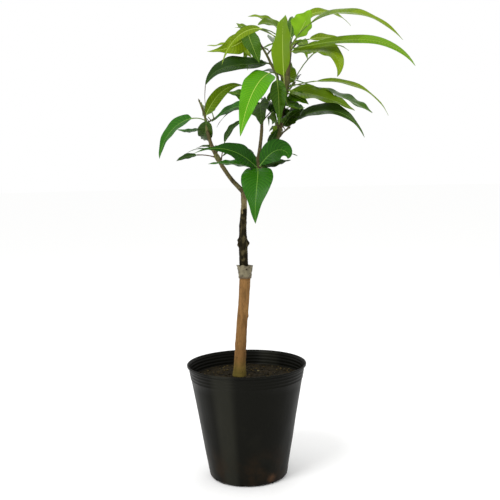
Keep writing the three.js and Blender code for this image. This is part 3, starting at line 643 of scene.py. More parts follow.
def leaf_finish(name, colour, gloss):
    """Leathery leaf skin: an even green with a gloss that varies and a fine grain."""
    recipe = Recipe(name, base_color=tint(*colour), specular_ior_level=0.14)
    patches = recipe.speckle(90)
    recipe.set("Roughness", gloss + 0.16 * patches)
    recipe.relief(recipe.speckle(900, detail=2), 0.00012)
    return recipe.material


def stalk_finish(name, colour):
    """Smooth green or brown skin of stalks and midribs."""
    recipe = Recipe(name, base_color=tint(*colour), specular_ior_level=0.3)
    recipe.set("Roughness", 0.45 + 0.2 * recipe.speckle(400))
    return recipe.material


# Where soil has washed out above one drain hole and dried on, in metres.
SPILL = dict(centre=(0.046, -0.067, 0.013), core=0.006, reach=0.02)
# A painted highlight in a stripe down the wall, by its sideways place for each part forwards.
PAINTED_HIGHLIGHT = dict(left=(-0.86, -0.58), right=(-0.36, -0.16))


def plastic_finish():
    """Soft black polythene: dusty in patches, with a painted highlight in a stripe down the wall, and stained
    by soil near the ground.
    """
    recipe = Recipe("black_polythene", specular_ior_level=0.05)
    dust = recipe.between(recipe.speckle(16, detail=5), 0.5, 0.78)
    sideways, depth, height = (recipe.along(axis) for axis in range(3))
    slant = sideways / (0 - depth)
    # A painted highlight: a lighter stripe of black down the left of the front.
    painted_highlight = recipe.between(slant, *PAINTED_HIGHLIGHT["left"]) * (1 - recipe.between(slant, *PAINTED_HIGHLIGHT["right"]))
    painted_highlight = painted_highlight * (0.45 + 0.8 * recipe.speckle(30, detail=4, stretch=(1, 1, 0.3)))
    low = 1 - recipe.between(height, 0.0, 0.1)
    stain = low * recipe.between(recipe.speckle(28, detail=5), 0.42, 0.7)
    black = recipe.blend(dust * 0.35, tint(15, 15, 11), tint(30, 29, 23))
    black = recipe.blend(painted_highlight, black, tint(35, 35, 29))
    black = recipe.blend(stain * 0.5, black, tint(46, 32, 18))
    inputs = {0: recipe.place(), 1: SPILL["centre"]}
    away = recipe.add("ShaderNodeVectorMath", dict(operation="DISTANCE"), inputs, 1)
    away = away + 0.012 * recipe.speckle(210, detail=5)
    spilt = 1 - recipe.between(away, SPILL["core"], SPILL["reach"])
    recipe.set("Base Color", recipe.blend(spilt * 0.7, black, tint(80, 56, 38)))
    recipe.set("Roughness", 0.3 + 0.2 * recipe.speckle(22, detail=4))
    streaks = recipe.speckle(120, detail=2, stretch=(1, 1, 0.04))
    recipe.relief(streaks, 0.0004, 0.5)
    return recipe.material


def soil_finish():
    """Damp dark earth with pale grit."""
    recipe = Recipe("potting_soil", roughness=1.0, specular_ior_level=0.1)
    damp = recipe.between(recipe.speckle(60, detail=5), 0.35, 0.65)
    earth = recipe.blend(damp, tint(20, 18, 10), tint(40, 33, 19))
    grit = recipe.between(recipe.speckle(420, detail=2), 0.68, 0.76)
    recipe.set("Base Color", recipe.blend(grit * 0.5, earth, tint(74, 62, 38)))
    recipe.relief(recipe.speckle(700, detail=4), 0.0012)
    return recipe.material


def crumb_finish(name, colour):
    """One kind of loose crumb, mottled up to half as light again."""
    recipe = Recipe(name, specular_ior_level=0.1)
    lighter = tuple(min(255, part * 1.5) for part in colour)
    recipe.set("Base Color", recipe.blend(recipe.speckle(300), tint(*colour), tint(*lighter)))
    recipe.set("Roughness", 0.85 + 0.1 * recipe.speckle(500))
    return recipe.material


def bark_finish(name, base, streak, patch, scale, foot=None, gloss=0.25):
    """Bark in three colours: long streaks and patches on the base, with a paler foot if asked."""
    recipe = Recipe(name, specular_ior_level=gloss)
    streaks = recipe.between(recipe.speckle(scale * 2.2, detail=5, stretch=(1, 1, 0.16)), 0.4, 0.66)
    patches = recipe.between(recipe.speckle(scale, detail=4, stretch=(1, 1, 0.6)), 0.5, 0.68)
    colour = recipe.blend(streaks, tint(*base), tint(*streak))
    colour = recipe.blend(patches * 0.7, colour, tint(*patch))
    if foot:
        low = 1 - recipe.between(recipe.along(2), foot["start"], foot["end"])
        colour = recipe.blend(low * 0.8, colour, tint(*foot["colour"]))
    pits = recipe.between(recipe.speckle(scale * 9, detail=3, stretch=(1, 1, 0.5)), 0.3, 0.42)
    recipe.set("Base Color", recipe.blend(pits, tint(*(part * 0.55 for part in base)), colour))
    recipe.set("Roughness", 0.7 + 0.2 * recipe.speckle(scale * 4))
    recipe.relief(recipe.speckle(scale * 7, detail=5, stretch=(1, 1, 0.3)), 0.0009)
    return recipe.material


def tape_finish():
    """Weathered pale tape, grimy in patches and brown along its lower edge."""
    recipe = Recipe("graft_tape", specular_ior_level=0.35)
    grime = recipe.between(recipe.speckle(130, detail=5), 0.42, 0.66)
    pale = recipe.between(recipe.speckle(220, detail=3), 0.6, 0.75)
    colour = recipe.blend(grime, tint(112, 104, 80), tint(74, 66, 46))
    colour = recipe.blend(pale * 0.5, colour, tint(148, 142, 118))
    low = 1 - recipe.between(recipe.along(2), (WRAP["bottom"] + 1) * MM, (WRAP["bottom"] + 6) * MM)
    recipe.set("Base Color", recipe.blend(low * 0.7, colour, tint(74, 54, 32)))
    recipe.set("Roughness", 0.42 + 0.25 * recipe.speckle(200))
    recipe.relief(recipe.speckle(500, detail=4), 0.0006)
    return recipe.material


# The tones half way between two, for leaves that turn from one to the other.
for first, second in (("olive", "lime"), ("olive", "fresh"), ("deep", "mid")):
    pairs = zip(TONES[first], TONES[second])
    TONES[f"{first}_{second}"] = [tuple((here + there) / 2 for here, there in zip(*pair)) for pair in pairs]
leaf_finishes = {}
for tone, colours in TONES.items():
    for part, colour in zip(TONE_PARTS, colours):
        gloss = 0.5 if part == "under" else 0.3
        leaf_finishes[tone, part] = leaf_finish(f"leaf_{tone}_{part}", colour, gloss)
stalk_finishes = {name: stalk_finish(name, colour) for name, colour in STALK_COLOURS.items()}
rootstock_bark = bark_finish(
    "rootstock_bark", (130, 94, 50), (102, 72, 34), (148, 110, 60), 60,
    foot=dict(start=0.206, end=0.25, colour=(100, 92, 32)),
)
scion_bark = bark_finish("scion_bark", (32, 27, 12), (11, 9, 3), (84, 76, 50), 130, gloss=0.08)
fork_bark = bark_finish("fork_bark", (106, 95, 62), (80, 70, 42), (136, 122, 86), 75)
bough_bark = bark_finish("bough_bark", (82, 74, 42), (56, 48, 28), (110, 104, 66), 90)
shoot_bark = bark_finish("shoot_bark", (92, 92, 48), (70, 66, 38), (112, 116, 66), 120)

# ---------------------------------------------------------------- mesh making


def sheet(form, places):
    """A grid bent to places, an array of rows and columns of points in millimetres.
    Its faces look along row direction cross column direction. Gives its rows of vertices."""
    rows, columns = places.shape[:2]
    made = bmesh.ops.create_grid(form, x_segments=rows - 1, y_segments=columns - 1, size=1)["verts"]
    grid = [[None] * columns for _ in range(rows)]
    for vertex in made:
        row = round((vertex.co.x + 1) / 2 * (rows - 1))
        column = round((vertex.co.y + 1) / 2 * (columns - 1))
        grid[row][column] = vertex
    for row in range(rows):
        for column in range(columns):
            grid[row][column].co = places[row, column] * MM
    return grid


def paint(grid, choose):
    """Gives each face of a sheet the finish that choose names for its row and column."""
    for row in range(len(grid) - 1):
        for column in range(len(grid[0]) - 1):
            corners = {grid[row][column], grid[row + 1][column + 1]}
            for face in grid[row][column].link_faces:
                if corners <= set(face.verts):
                    face.material_index = choose(row, column)


def tube(form, points, across, over, wide, high, sides, finish=0):
    """A closed tube round a line. wide and high are its half widths along across and over."""
    angles = -2 * np.pi * np.arange(sides + 1) / sides
    places = (
        points[:, None]
        + across[:, None] * (wide[:, None] * np.cos(angles))[..., None]
        + over[:, None] * (high[:, None] * np.sin(angles))[..., None]
    )
    places = np.concatenate([np.broadcast_to(points[0], (1, sides + 1, 3)), places,
                             np.broadcast_to(points[-1], (1, sides + 1, 3))])
    grid = sheet(form, places)
    paint(grid, finish if callable(finish) else lambda row, column: finish)
    seam = [row[0] for row in grid] + [row[-1] for row in grid] + grid[0] + grid[-1]
    bmesh.ops.remove_doubles(form, verts=list(dict.fromkeys(seam)), dist=1e-7)


def frames_along(tangents):
    """Cross directions for rings about a line that runs upwards or sideways."""
    across = np.array([1.0, 0, 0]) - tangents * tangents[:, :1]
    short = np.linalg.norm(across, axis=1) < 0.2
    across[short] = np.array([0, 1.0, 0]) - tangents[short] * tangents[short][:, 1:2]
    across = unit(across)
    return across, np.cross(tangents, across)


def round_tube(form, points, tangents, radii, sides, finish=0):
    """A closed round tube through points that run along tangents."""
    tube(form, points, *frames_along(tangents), radii, radii, sides, finish)


def plain_tube(form, limb, sides, steps, finish=0):
    """A limb's smooth tube."""
    points, radii, tangents = limb_at(limb, np.linspace(0, 1, steps + 1))
    round_tube(form, points, tangents, radii, sides, finish)


def ball(form, centre, radius, squash=(1, 1, 1), detail=2, finish=0):
    """A small lump, in millimetres."""
    shape = Matrix.Translation(Vector(centre) * MM) @ Matrix.Diagonal((*squash, 1))
    made = bmesh.ops.create_icosphere(form, subdivisions=detail, radius=radius * MM, matrix=shape)["verts"]
    for face in {face for vertex in made for face in vertex.link_faces}:
        face.material_index = finish
    return made


def spun(form, profile, steps):
    """A closed profile of (radius, height) points turned right round the upright axis."""
    corners = [form.verts.new((radius * MM, 0, height * MM)) for radius, height in profile]
    edges = [form.edges.new(pair) for pair in zip(corners, corners[1:])]
    bmesh.ops.spin(form, geom=corners + edges, axis=(0, 0, 1), cent=(0, 0, 0), angle=2 * math.pi,
                   steps=steps, use_merge=True)
    bmesh.ops.remove_doubles(form, verts=form.verts, dist=1e-6)
    bmesh.ops.recalc_face_normals(form, faces=form.faces)


def arc(centre, radius, start, end, steps):
    """Points of an arc, with its angles in degrees."""
    angles = np.radians(np.linspace(start, end, steps + 1))
    return [(centre[0] + radius * math.cos(angle), centre[1] + radius * math.sin(angle)) for angle in angles]


def thing_from(name, form, finishes=()):
    """Turns a finished form into an object of the scene."""
    mesh = bpy.data.meshes.new(name)
    form.to_mesh(mesh)
    form.free()
    for finish in finishes:
        mesh.materials.append(finish)
    thing = bpy.data.objects.new(name, mesh)
    bpy.context.scene.collection.objects.link(thing)
    return thing


def piece(name, form, finishes, node):
    """Turns a finished form into a piece that rides on the plant and stands for a CAD node."""
    thing = thing_from(name, form, finishes)
    thing.data.shade_smooth()
    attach(thing, "root")
    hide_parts(node)
    return thing


def thicken(thing, thickness, beyond=0):
    """Gives a sheet its thickness in millimetres. beyond shifts the finishes of its inner side."""
    skin = thing.modifiers.new("thickness", "SOLIDIFY")
    skin.thickness = thickness * MM
    skin.offset = -1
    skin.material_offset = beyond


def grain(point, scale, stretch=1.0):
    """Smooth noise from -1 to 1 at a place in millimetres. scale is the size of its patches."""
    return noise.noise(Vector((point[0] / scale, point[1] / scale, point[2] / scale / stretch)))


def rough(point, *waves):
    """Grains of several sizes added up. Each wave is its height, its scale and perhaps its stretch."""
    return sum(height * grain(point, *sizes) for height, *sizes in waves)


# ---------------------------------------------------------------- leaves

# Each vein is a groove with a slope on its side towards the stalk, in four rows of faces.
VEINS = dict(pitch=6.5, least=8, rows=(0, 0.1, 0.4, 0.72), lifts=(-1, -1, 0.9, 0.7), depth=0.26, slant=0.5,
             most_slant=0.22, full_width=12)
ROWS = len(VEINS["rows"])
COLUMNS = np.array([-1, -0.93, -0.74, -0.5, -0.24, 0, 0.24, 0.5, 0.74, 0.93, 1])
BLADE = dict(fold=math.radians(12), foot=0.1, least_half=0.25, thickness=0.5)
WAVES = dict(height=0.05, counts=(2.4, 3.8), swell=0.6, edge=2.2)
TURN_WIDTH = 3.5  # veins on either side of a turn that have the tone between
STALK = dict(stations=(0, 0.06, 0.14, 0.3, 0.5, 0.7, 0.88), girth=1.05, foot=0.75, foot_reach=4, knee=0.25,
             knee_reach=5, sides=8)
RIB = dict(stations=25, end=0.99, foot=0.75, foot_share=0.01, tip=0.25, taper=0.8, height=0.62,
           least_height=0.36, sunk=0.12, blend=0.06)
BUD = dict(heights=(-0.15, 0.15, 0.4, 0.65, 0.85, 1.0), girths=(0.2, 0.27, 0.26, 0.18, 0.1, 0.02), scales=4)
# How a dry tail hangs from a leaf's tip: its sideways places in millimetres and its shares of length.
TAIL = dict(places=((0, 0), (-1.5, 0.5), (0, 1)), radii=[0.8, 0.55, 0.35])
# The tones of the seeded leaves, where their mass has none of its own.
BACK_TONES = ("mid", "deep", "olive", "leafy", "moss", "mid", "dark", "deep")
LOOKS_SEED = 7


def tone_between(leaf):
    return f"{leaf['tone']}_{leaf['tip']}"


def blade_places(leaf, path, draw):
    """Rows and columns of points over a blade. The rows follow the veins, which slant to the tip."""
    length = leaf["petiole"] + leaf["blade"]
    veins = max(VEINS["least"], round(leaf["blade"] / VEINS["pitch"]))
    steps = np.array([(vein + part) / veins for vein in range(veins) for part in VEINS["rows"]] + [1])
    lifts = np.append(np.tile(VEINS["lifts"], veins), 0)
    reach = np.abs(COLUMNS)
    slant = min(VEINS["slant"] * leaf["width"] / leaf["blade"], VEINS["most_slant"])
    shares = steps[:, None] + slant * np.sin(np.pi * steps)[:, None] * reach**1.3
    narrowed = np.sqrt(smooth(shares / BLADE["foot"]))
    half = np.maximum(leaf["width"] / 2 * blade_outline(leaf, shares) * narrowed, BLADE["least_half"])
    along = (leaf["petiole"] + shares * leaf["blade"]) / length
    points, side, face = (part.reshape(*shares.shape, 3) for part in leaf_stations(leaf, path, along.ravel()))
    fall = 1.3 * reach - 0.3 * reach**3
    puff = VEINS["depth"] * SMOOTH_TONES.get(leaf["tone"], 1) * lifts[:, None] * 4 * reach * (1 - reach)
    puff *= np.clip(half / VEINS["full_width"], 0, 1)
    waves = np.zeros(shares.shape)
    for sign in (-1, 1):
        count, phase = mix(*WAVES["counts"], draw()), draw() * 2 * np.pi
        swing = np.sin(2 * np.pi * count * shares + phase)
        swing = swing * np.sin(np.pi * shares.clip(0, 1)) ** WAVES["swell"]
        waves += np.where(np.sign(COLUMNS) == sign, swing, 0)
    ruffle = leaf["wave"] * WAVES["height"] * leaf["width"] * waves * reach ** WAVES["edge"]
    lift = half * np.sin(BLADE["fold"]) * fall + puff + ruffle
    return points + side * (half * np.cos(BLADE["fold"]) * COLUMNS)[..., None] + face * lift[..., None]


def add_blade(form, leaf, path, draw, tones):
    """One blade. tones lists the tones of its piece, with three finishes for each."""
    grid = sheet(form, blade_places(leaf, path, draw))
    last = len(COLUMNS) - 2
    turning = leaf["turn"] * len(grid) / ROWS

    def choose(row, column):
        part = row % ROWS
        beyond = row // ROWS - turning
        tone = leaf["tip"] if beyond > 0 else leaf["tone"]
        if leaf["tip"] != leaf["tone"] and abs(beyond) < TURN_WIDTH:
            tone = tone_between(leaf)
        # The row after each vein takes the shade finish, which is painted shade.
        if part == 0 and 0 < column < last:
            finish = "vein"
        else:
            finish = "shade" if part == 1 else "blade"
        return len(UPPER_PARTS) * tones.index(tone) + UPPER_PARTS.index(finish)

    paint(grid, choose)
    rim = [(grid[0], grid[0][1:]), (grid[-1], grid[-1][1:])]
    rim += [([row[edge] for row in grid], [row[edge] for row in grid[1:]]) for edge in (0, -1)]
    pairs = {frozenset(pair) for line, after in rim for pair in zip(line, after)}
    for vertex in {vertex for pair in pairs for vertex in pair}:
        for edge in vertex.link_edges:
            if frozenset(edge.verts) in pairs:
                edge.smooth = False


def add_stalk(form, leaf, path):
    """Petiole with its swollen foot, running on as the midrib to the tip."""
    length = leaf["petiole"] + leaf["blade"]
    joint = leaf["petiole"] / length
    on_petiole = np.array(STALK["stations"]) * joint
    on_blade = mix(joint, RIB["end"], np.linspace(0, 1, RIB["stations"]))
    shares = np.concatenate([on_petiole, on_blade])
    points, side, face = leaf_stations(leaf, path, shares)
    along = shares * length
    stalk = STALK["girth"] + STALK["foot"] * np.exp(-along / STALK["foot_reach"])
    stalk = stalk + STALK["knee"] * np.exp(-np.abs(leaf["petiole"] - along) / STALK["knee_reach"])
    out = np.clip((shares - joint) / (1 - joint), 0, 1)
    rib = mix(RIB["foot"] + RIB["foot_share"] * leaf["width"], RIB["tip"], out ** RIB["taper"])
    blending = np.clip(out / RIB["blend"], 0, 1)
    wide = mix(stalk, rib, blending)
    high = mix(stalk, np.maximum(rib * RIB["height"], RIB["least_height"]), blending)
    points = points - face * (RIB["sunk"] * blending)[:, None]
    stalk_name, rib_name = STALKS_OF[leaf["tone"]]
    names = list(STALK_COLOURS)
    joint_row = len(on_petiole) + 1

    def choose(row, column):
        return names.index(stalk_name if row < joint_row else rib_name)

    tube(form, points, side, face, wide, high, STALK["sides"], choose)


def add_bud(form, tip, direction, size):
    """A pointed shoot bud with scales round its foot."""
    direction = unit(np.array(direction, float))
    points = tip + direction * (np.array(BUD["heights"]) * size)[:, None]
    ways = np.repeat(direction[None], len(points), axis=0)
    round_tube(form, points, ways, np.array(BUD["girths"]) * size, 8)
    across, over = (way[0] for way in frames_along(ways))
    for number in range(BUD["scales"]):
        angle = 2 * math.pi / BUD["scales"] * number + 0.4
        out = across * math.cos(angle) + over * math.sin(angle)
        centre = tip + direction * size * 0.12 + out * size * 0.24
        ball(form, centre, size * 0.13, squash=(1, 1, 1.7), detail=1)


def add_shoot(form, limb, sides, steps, bud):
    """A stem or twig that ends in a bud."""
    plain_tube(form, limb, sides, steps)
    points, _, tangents = limb_at(limb, 1.0)
    add_bud(form, points[0], tangents[0], bud)


def add_stem(form, stem, draw):
    """A mass's own stem, with its bud and the small scars of lost leaves."""
    spans = len(stem["path"]) - 1
    add_shoot(form, stem, 12, 10 * spans, 7)
    for share in np.linspace(0.12, 0.92, 4 * spans):
        points, radii, _ = limb_at(stem, share)
        out = aimed(360 * draw(), 0)
        ball(form, points[0] + out * radii[0] * 0.85, 0.9, squash=(1.2, 1.2, 0.7), detail=1)


def add_collar(form, collar):
    """The swelling round a limb from which a mass's stalks leave."""
    limb = LIMBS[collar["limb"]]
    start, end = share_at_height(limb, collar["start"]), share_at_height(limb, collar["end"])
    points, radii, tangents = limb_at(limb, np.linspace(start, end, 13))
    girth = radii + 0.2 + (COLLAR_WALL - 0.4) * np.sin(np.pi * np.linspace(0, 1, 13)) ** 0.7
    round_tube(form, points, tangents, girth, 14)


def dress_mass(name, mass, grown, draw):
    """The blades, stalks and twigs of one mass, each kind a piece of its own."""
    blades, stalks, twigs = bmesh.new(), bmesh.new(), bmesh.new()
    tones = set()
    for leaf in grown["leaves"]:
        if not leaf["tone"]:
            choice = mass.get("back_tones", BACK_TONES)
            leaf["tone"] = leaf["tip"] = choice[int(draw() * len(choice))]
        tones |= {leaf["tone"], leaf["tip"]}
        if leaf["tip"] != leaf["tone"]:
            tones.add(tone_between(leaf))
    tones = sorted(tones)
    for leaf in grown["leaves"]:
        path = leaf_path(leaf)
        add_blade(blades, leaf, path, draw, tones)
        add_stalk(stalks, leaf, path)
        if leaf["tail"]:
            hang = [path[-1] + (side, 0, -down * leaf["tail"]) for side, down in TAIL["places"]]
            tail = dict(path=hang, radii=TAIL["radii"])
            plain_tube(stalks, tail, 8, 12, list(STALK_COLOURS).index("stalk_brown"))
    if "stem" in mass:
        add_stem(twigs, mass["stem"], draw)
    else:
        add_collar(twigs, mass["collar"])
    for stub in mass.get("stubs", ()):
        add_shoot(twigs, stub, 10, 16, 6)
    for twig in grown["twigs"]:
        ends = [twig["root"], twig["tip"]]
        add_shoot(twigs, dict(path=ends, radii=[TWIG["radius"], TWIG["tip"]]), 10, 6, 6)
        for ends in twig["shoots"]:
            add_shoot(twigs, dict(path=ends, radii=SHOOT["radii"]), 8, 3, SHOOT["bud"])
    slots = [leaf_finishes[tone, part] for tone in tones for part in UPPER_PARTS]
    slots += [leaf_finishes[tone, "under"] for tone in tones for _ in UPPER_PARTS]
    leaves = piece(name.replace("foliage", "leaves"), blades, slots, name)
    thicken(leaves, BLADE["thickness"], len(slots) // 2)
    piece(name.replace("foliage", "stalks"), stalks, list(stalk_finishes.values()), name)
    piece(name.replace("foliage", "twigs"), twigs, [shoot_bark], name)


crown = grow_crown()
draw_looks = seeded(LOOKS_SEED)
for mass_name, mass in MASSES.items():
    dress_mass(mass_name, mass, crown[mass_name], draw_looks)

# ---------------------------------------------------------------- trunk and boughs


# The bark's relief: the scale and stretch of its cracks and of its fine and broad grain.
BARK = dict(crack=(3.2, 5), crack_edge=0.55, crack_slope=1.6, fine=1.7, broad=(6, 2))


def bark_limb(limb, lumps, pitch=1.1, roughness=0.3, groove=0.4, extend=0.0):
    """A limb's tube with the relief of its bark and its lumps, which are knots and scars.

    pitch is the size of its faces, and extend lets its foot reach a little further down."""
    length = np.linalg.norm(np.diff(curve_points(limb["path"], np.linspace(0, 1, 60)), axis=0), axis=1).sum()
    points, radii, tangents = limb_at(limb, np.linspace(0, 1, round(length / pitch) + 1))
    points[0] -= tangents[0] * extend
    form = bmesh.new()
    round_tube(form, points, tangents, radii, max(18, round(2 * np.pi * radii.max() / pitch)))
    heights = points[:, 2]
    for vertex in form.verts:
        place = np.array(vertex.co) / MM
        nearest = int(np.argmin(np.abs(heights - place[2]) + 0.02 * np.linalg.norm(points - place, axis=1)))
        out = place - points[nearest]
        out -= tangents[nearest] * out.dot(tangents[nearest])
        far = np.linalg.norm(out)
        if far < radii[nearest] * 0.5:
            continue
        crack = 1 - abs(grain(place, *BARK["crack"])) * 2
        push = rough(place, (roughness, BARK["fine"]), (0.8 * roughness, *BARK["broad"]))
        push -= groove * max(crack - BARK["crack_edge"], 0) * BARK["crack_slope"]
        for height, azimuth, size, stand in lumps:
            centre = [np.interp(height, heights, points[:, axis]) for axis in range(2)]
            gap = np.linalg.norm(place - np.array([*centre, height]) - aimed(azimuth, 0) * far)
            push += stand * math.exp(-((gap / size) ** 2))
        vertex.co = Vector(place + out / far * push) * MM
    return form


# Lumps on the bark: height, azimuth, size and how far they stand out.
TRUNK_LUMPS = [
    (324, -8, 4.5, 1.3), (268, 200, 6, 0.8), (296, 100, 5, 1.0), (372, -120, 5, 0.7), (215, 60, 7, 1.2),
    (214, -50, 7, 1.0),
]
SCION_LUMPS = [
    (481, -70, 3.4, 1.5), (462, -110, 3, 1.1), (505, 150, 3.5, 1.0), (512, -20, 3, 0.9), (536, 190, 2.6, 0.9),
    (447, 30, 3, 0.9),
]
trunk = bark_limb(LIMBS["rootstock_trunk"], TRUNK_LUMPS, groove=0.5, extend=1.5)
piece("rootstock_wood", trunk, [rootstock_bark], "rootstock_trunk")

knobs = [(knob["height"], knob["azimuth"], knob["radius"], knob["radius"] * 0.85) for knob in KNOBS]
scion = bark_limb(LIMBS["scion_stem"], knobs + SCION_LUMPS, pitch=0.9, roughness=0.45)
ball(scion, (1, 2, 570), 6.0, squash=(1, 1, 0.9), detail=3)
# The dark bark ends in a slanting, ragged border under the fork.
for face in scion.faces:
    middle = np.array(face.calc_center_median()) / MM
    face.material_index = int(middle[2] - 0.8 * middle[0] + 9 * grain(middle, 5, 2) > 537)
piece("scion_wood", scion, [scion_bark, fork_bark], "scion_stem")

# Each bough's reach into the limb under it, and the heights of the scars that its leaves left.
BOUGHS = {
    "bough_right": (2, [585, 600, 607, 640, 655, 662, 712, 720, 729, 742, 803, 812, 822]),
    "bough_left": (1, [577, 590, 603, 612, 622, 655, 663, 672, 681]),
    "bough_middle": (0, [640, 655, 668, 677, 690]),
    "bough_upper": (0, [765, 773, 782, 789]),
}
SCAR = dict(turn=137.5, size=2.2, stand=0.5)
for name, (extend, heights) in BOUGHS.items():
    scars = [
        (height, SCAR["turn"] * number, SCAR["size"], SCAR["stand"]) for number, height in enumerate(heights)
    ]
    bough = bark_limb(LIMBS[name], scars, pitch=0.9, roughness=0.22, groove=0.2, extend=extend)
    piece(name.replace("bough", "wood"), bough, [bough_bark], name)

# ---------------------------------------------------------------- graft tape


# torn, uneven and creased give waves of grain for the top edge, the bottom edge and the face.
TAPE = dict(
    sides=72, rows=22, turns=3.2, lap=0.5, torn=((3.0, 5), (1.2, 2)), uneven=(0.5, 4), creased=(0.7, 5),
    thickness=0.6, hole=(4.2, -14, 419.5), hole_radius=1.5,
)


def graft_tape():
    """Tape wound round the joint: lapped turns below, a loose torn cup above."""
    form = bmesh.new()
    sides, rows, waist = TAPE["sides"], TAPE["rows"], WRAP["waist_at"]
    places = np.zeros((rows + 1, sides + 1, 3))
    for row in range(rows + 1):
        share = row / rows
        for side in range(sides + 1):
            angle = 2 * math.pi * (side % sides) / sides
            ways = (math.cos(angle), math.sin(angle))
            around = (ways[0] * 9, ways[1] * 9, 0)
            bottom = WRAP["bottom"] + rough(around, TAPE["uneven"])
            height = mix(bottom, WRAP["top"] - 1.5 + rough(around, *TAPE["torn"]), share)
            if share < waist:
                radius = mix(WRAP["lower"], WRAP["waist"], share / waist)
            else:
                radius = mix(WRAP["waist"], WRAP["upper"], (share - waist) / (1 - waist))
            lap = (share * TAPE["turns"] + angle / (2 * math.pi)) % 1
            here = (around[0] * 1.6, around[1] * 1.6, height)
            radius += TAPE["lap"] * lap + rough(here, TAPE["creased"]) * (0.4 + share)
            middle = WRAP["centre"]
            places[row, side] = (middle[0] + radius * ways[0], middle[1] + radius * ways[1], height)
    grid = sheet(form, places[:, ::-1])
    bmesh.ops.remove_doubles(form, verts=[row[0] for row in grid] + [row[-1] for row in grid], dist=1e-7)
    hole, reach = Vector(TAPE["hole"]) * MM, TAPE["hole_radius"] * MM
    gone = [face for face in form.faces if (face.calc_center_median() - hole).length < reach]
    bmesh.ops.delete(form, geom=gone, context="FACES")
    thicken(piece("graft_tape", form, [tape_finish()], "graft_wrap"), TAPE["thickness"])


graft_tape()

# ---------------------------------------------------------------- pot and soil


def wall_radius(height):
    """The outside of the tapered wall, without its ribs and lip."""
    return mix(POT["base"], POT["rim"] - POT["lip_stand"], height / POT["height"])


WALL_SLOPE = math.degrees(math.atan((wall_radius(POT["height"]) - POT["base"]) / POT["height"]))


def corner_points(inset, steps):
    """The rounded corner between floor and wall, set in from the outside."""
    centre = (wall_radius(POT["corner"]) - POT["corner"], POT["corner"])
    return arc(centre, POT["corner"] - inset, -90, -WALL_SLOPE, steps)


def rib_points(inset):
    """The pressed ribs under the lip, going up the wall."""
    bottom = POT["height"] - POT["lip_height"] - RIBS["count"] * RIBS["pitch"]
    half, stand = RIBS["half"], RIBS["stand"]
    points = []
    for number in range(RIBS["count"]):
        crest = bottom + (number + RIBS["crest"]) * RIBS["pitch"]
        for offset, out in ((-half, 0), (-0.5, stand), (0.4, stand), (half, 0)):
            points.append((wall_radius(crest + offset) + out - inset, crest + offset))
    return points


def drained(thing):
    """Cuts the slanting drain holes through the bottom corner."""
    form = bmesh.new()
    place = Matrix.Translation(Vector((POT["base"] - 1, 0, DRAINS["height"])) * MM)
    tilt = Matrix.Rotation(math.radians(-45), 4, "Y")
    radius = DRAINS["radius"] * MM
    for number in range(DRAINS["count"]):
        turn = Matrix.Rotation(2 * math.pi * (number + DRAINS["turn"]) / DRAINS["count"], 4, "Z")
        bmesh.ops.create_cone(form, cap_ends=True, segments=20, radius1=radius, radius2=radius,
                              depth=DRAINS["length"] * MM, matrix=turn @ place @ tilt)
    drills = thing_from("drills", form)
    cut = thing.modifiers.new("drains", "BOOLEAN")
    cut.object = drills
    cut.solver = "EXACT"
    cleared = bpy.data.meshes.new_from_object(thing.evaluated_get(bpy.context.evaluated_depsgraph_get()))
    thing.modifiers.clear()
    thing.data = cleared
    bpy.data.objects.remove(drills)


# The soft wall's dents: height, scale and stretch.
DENTS = ((1.1, 55, 1.6), (0.4, 22, 2.5))


def make_pot():
    """The pot: floor, corner, wall and ribs outside, the rolled lip, and the same again inside."""
    wall, height, rim, edge = POT["wall"], POT["height"], POT["rim"], POT["lip_edge"]
    foot = height - POT["lip_height"]
    plain = list(np.linspace(POT["corner"], foot - RIBS["count"] * RIBS["pitch"], 16))[1:-1]

    def side(inset):
        floor = [(radius, inset) for radius in (0, 30, 55)]
        going_up = [(wall_radius(level) - inset, level) for level in plain]
        top = [(wall_radius(foot) - inset, foot)]
        return floor + corner_points(inset, 6) + going_up + rib_points(inset) + top

    lip = [(rim - edge, foot + edge * 0.4), (rim - 0.3, foot + edge), (rim, foot + 2 * edge)]
    for inwards, down in ((0, 1.2), (0.4, 0.3), (1.1, 0), (2.0, 0.3), (2.4, 1.2)):
        lip.append((rim - inwards, height - down))
    form = bmesh.new()
    spun(form, side(0) + lip + side(wall)[::-1], 168)
    for vertex in form.verts:
        place = np.array(vertex.co) / MM
        give = math.sin(math.pi * min(max(place[2] / height, 0), 1)) ** 0.7
        out = np.array([place[0], place[1], 0])
        if give > 0.02 and np.linalg.norm(out) > 60:
            vertex.co = Vector(place + unit(out) * give * rough(place, *DENTS)) * MM
    thing = piece("pot", form, [plastic_finish()], "nursery_pot")
    drained(thing)
    thing.data.shade_smooth()
    thing.data.set_sharp_from_angle(angle=math.radians(50))


SOIL_LUMPS = ((1.6, 9), (0.9, 3.5), (0.4, 1.6))
# Of the crumbs, dark gives the share of the dark ones and bark that of bark among the others.
CRUMBS = dict(seed=11, count=900, sizes=(0.7, 2.6), squash=(0.7, 1.4), dents=0.3, dark=0.78, bark=0.86)
CRUMB_COLOURS = dict(crumb_dark=(28, 24, 14), crumb_bark=(56, 47, 26), crumb_pale=(92, 84, 58))


def soil_height(radius):
    """Level round the trunk, and falling a little from the shoulder to the wall."""
    edge = wall_radius(SOIL["top"]) - POT["wall"] - SOIL["air"]
    fall = min(max((radius - SOIL["shoulder"]) / (edge - SOIL["shoulder"]), 0), 1)
    return SOIL["top"] - SOIL["edge_drop"] * fall


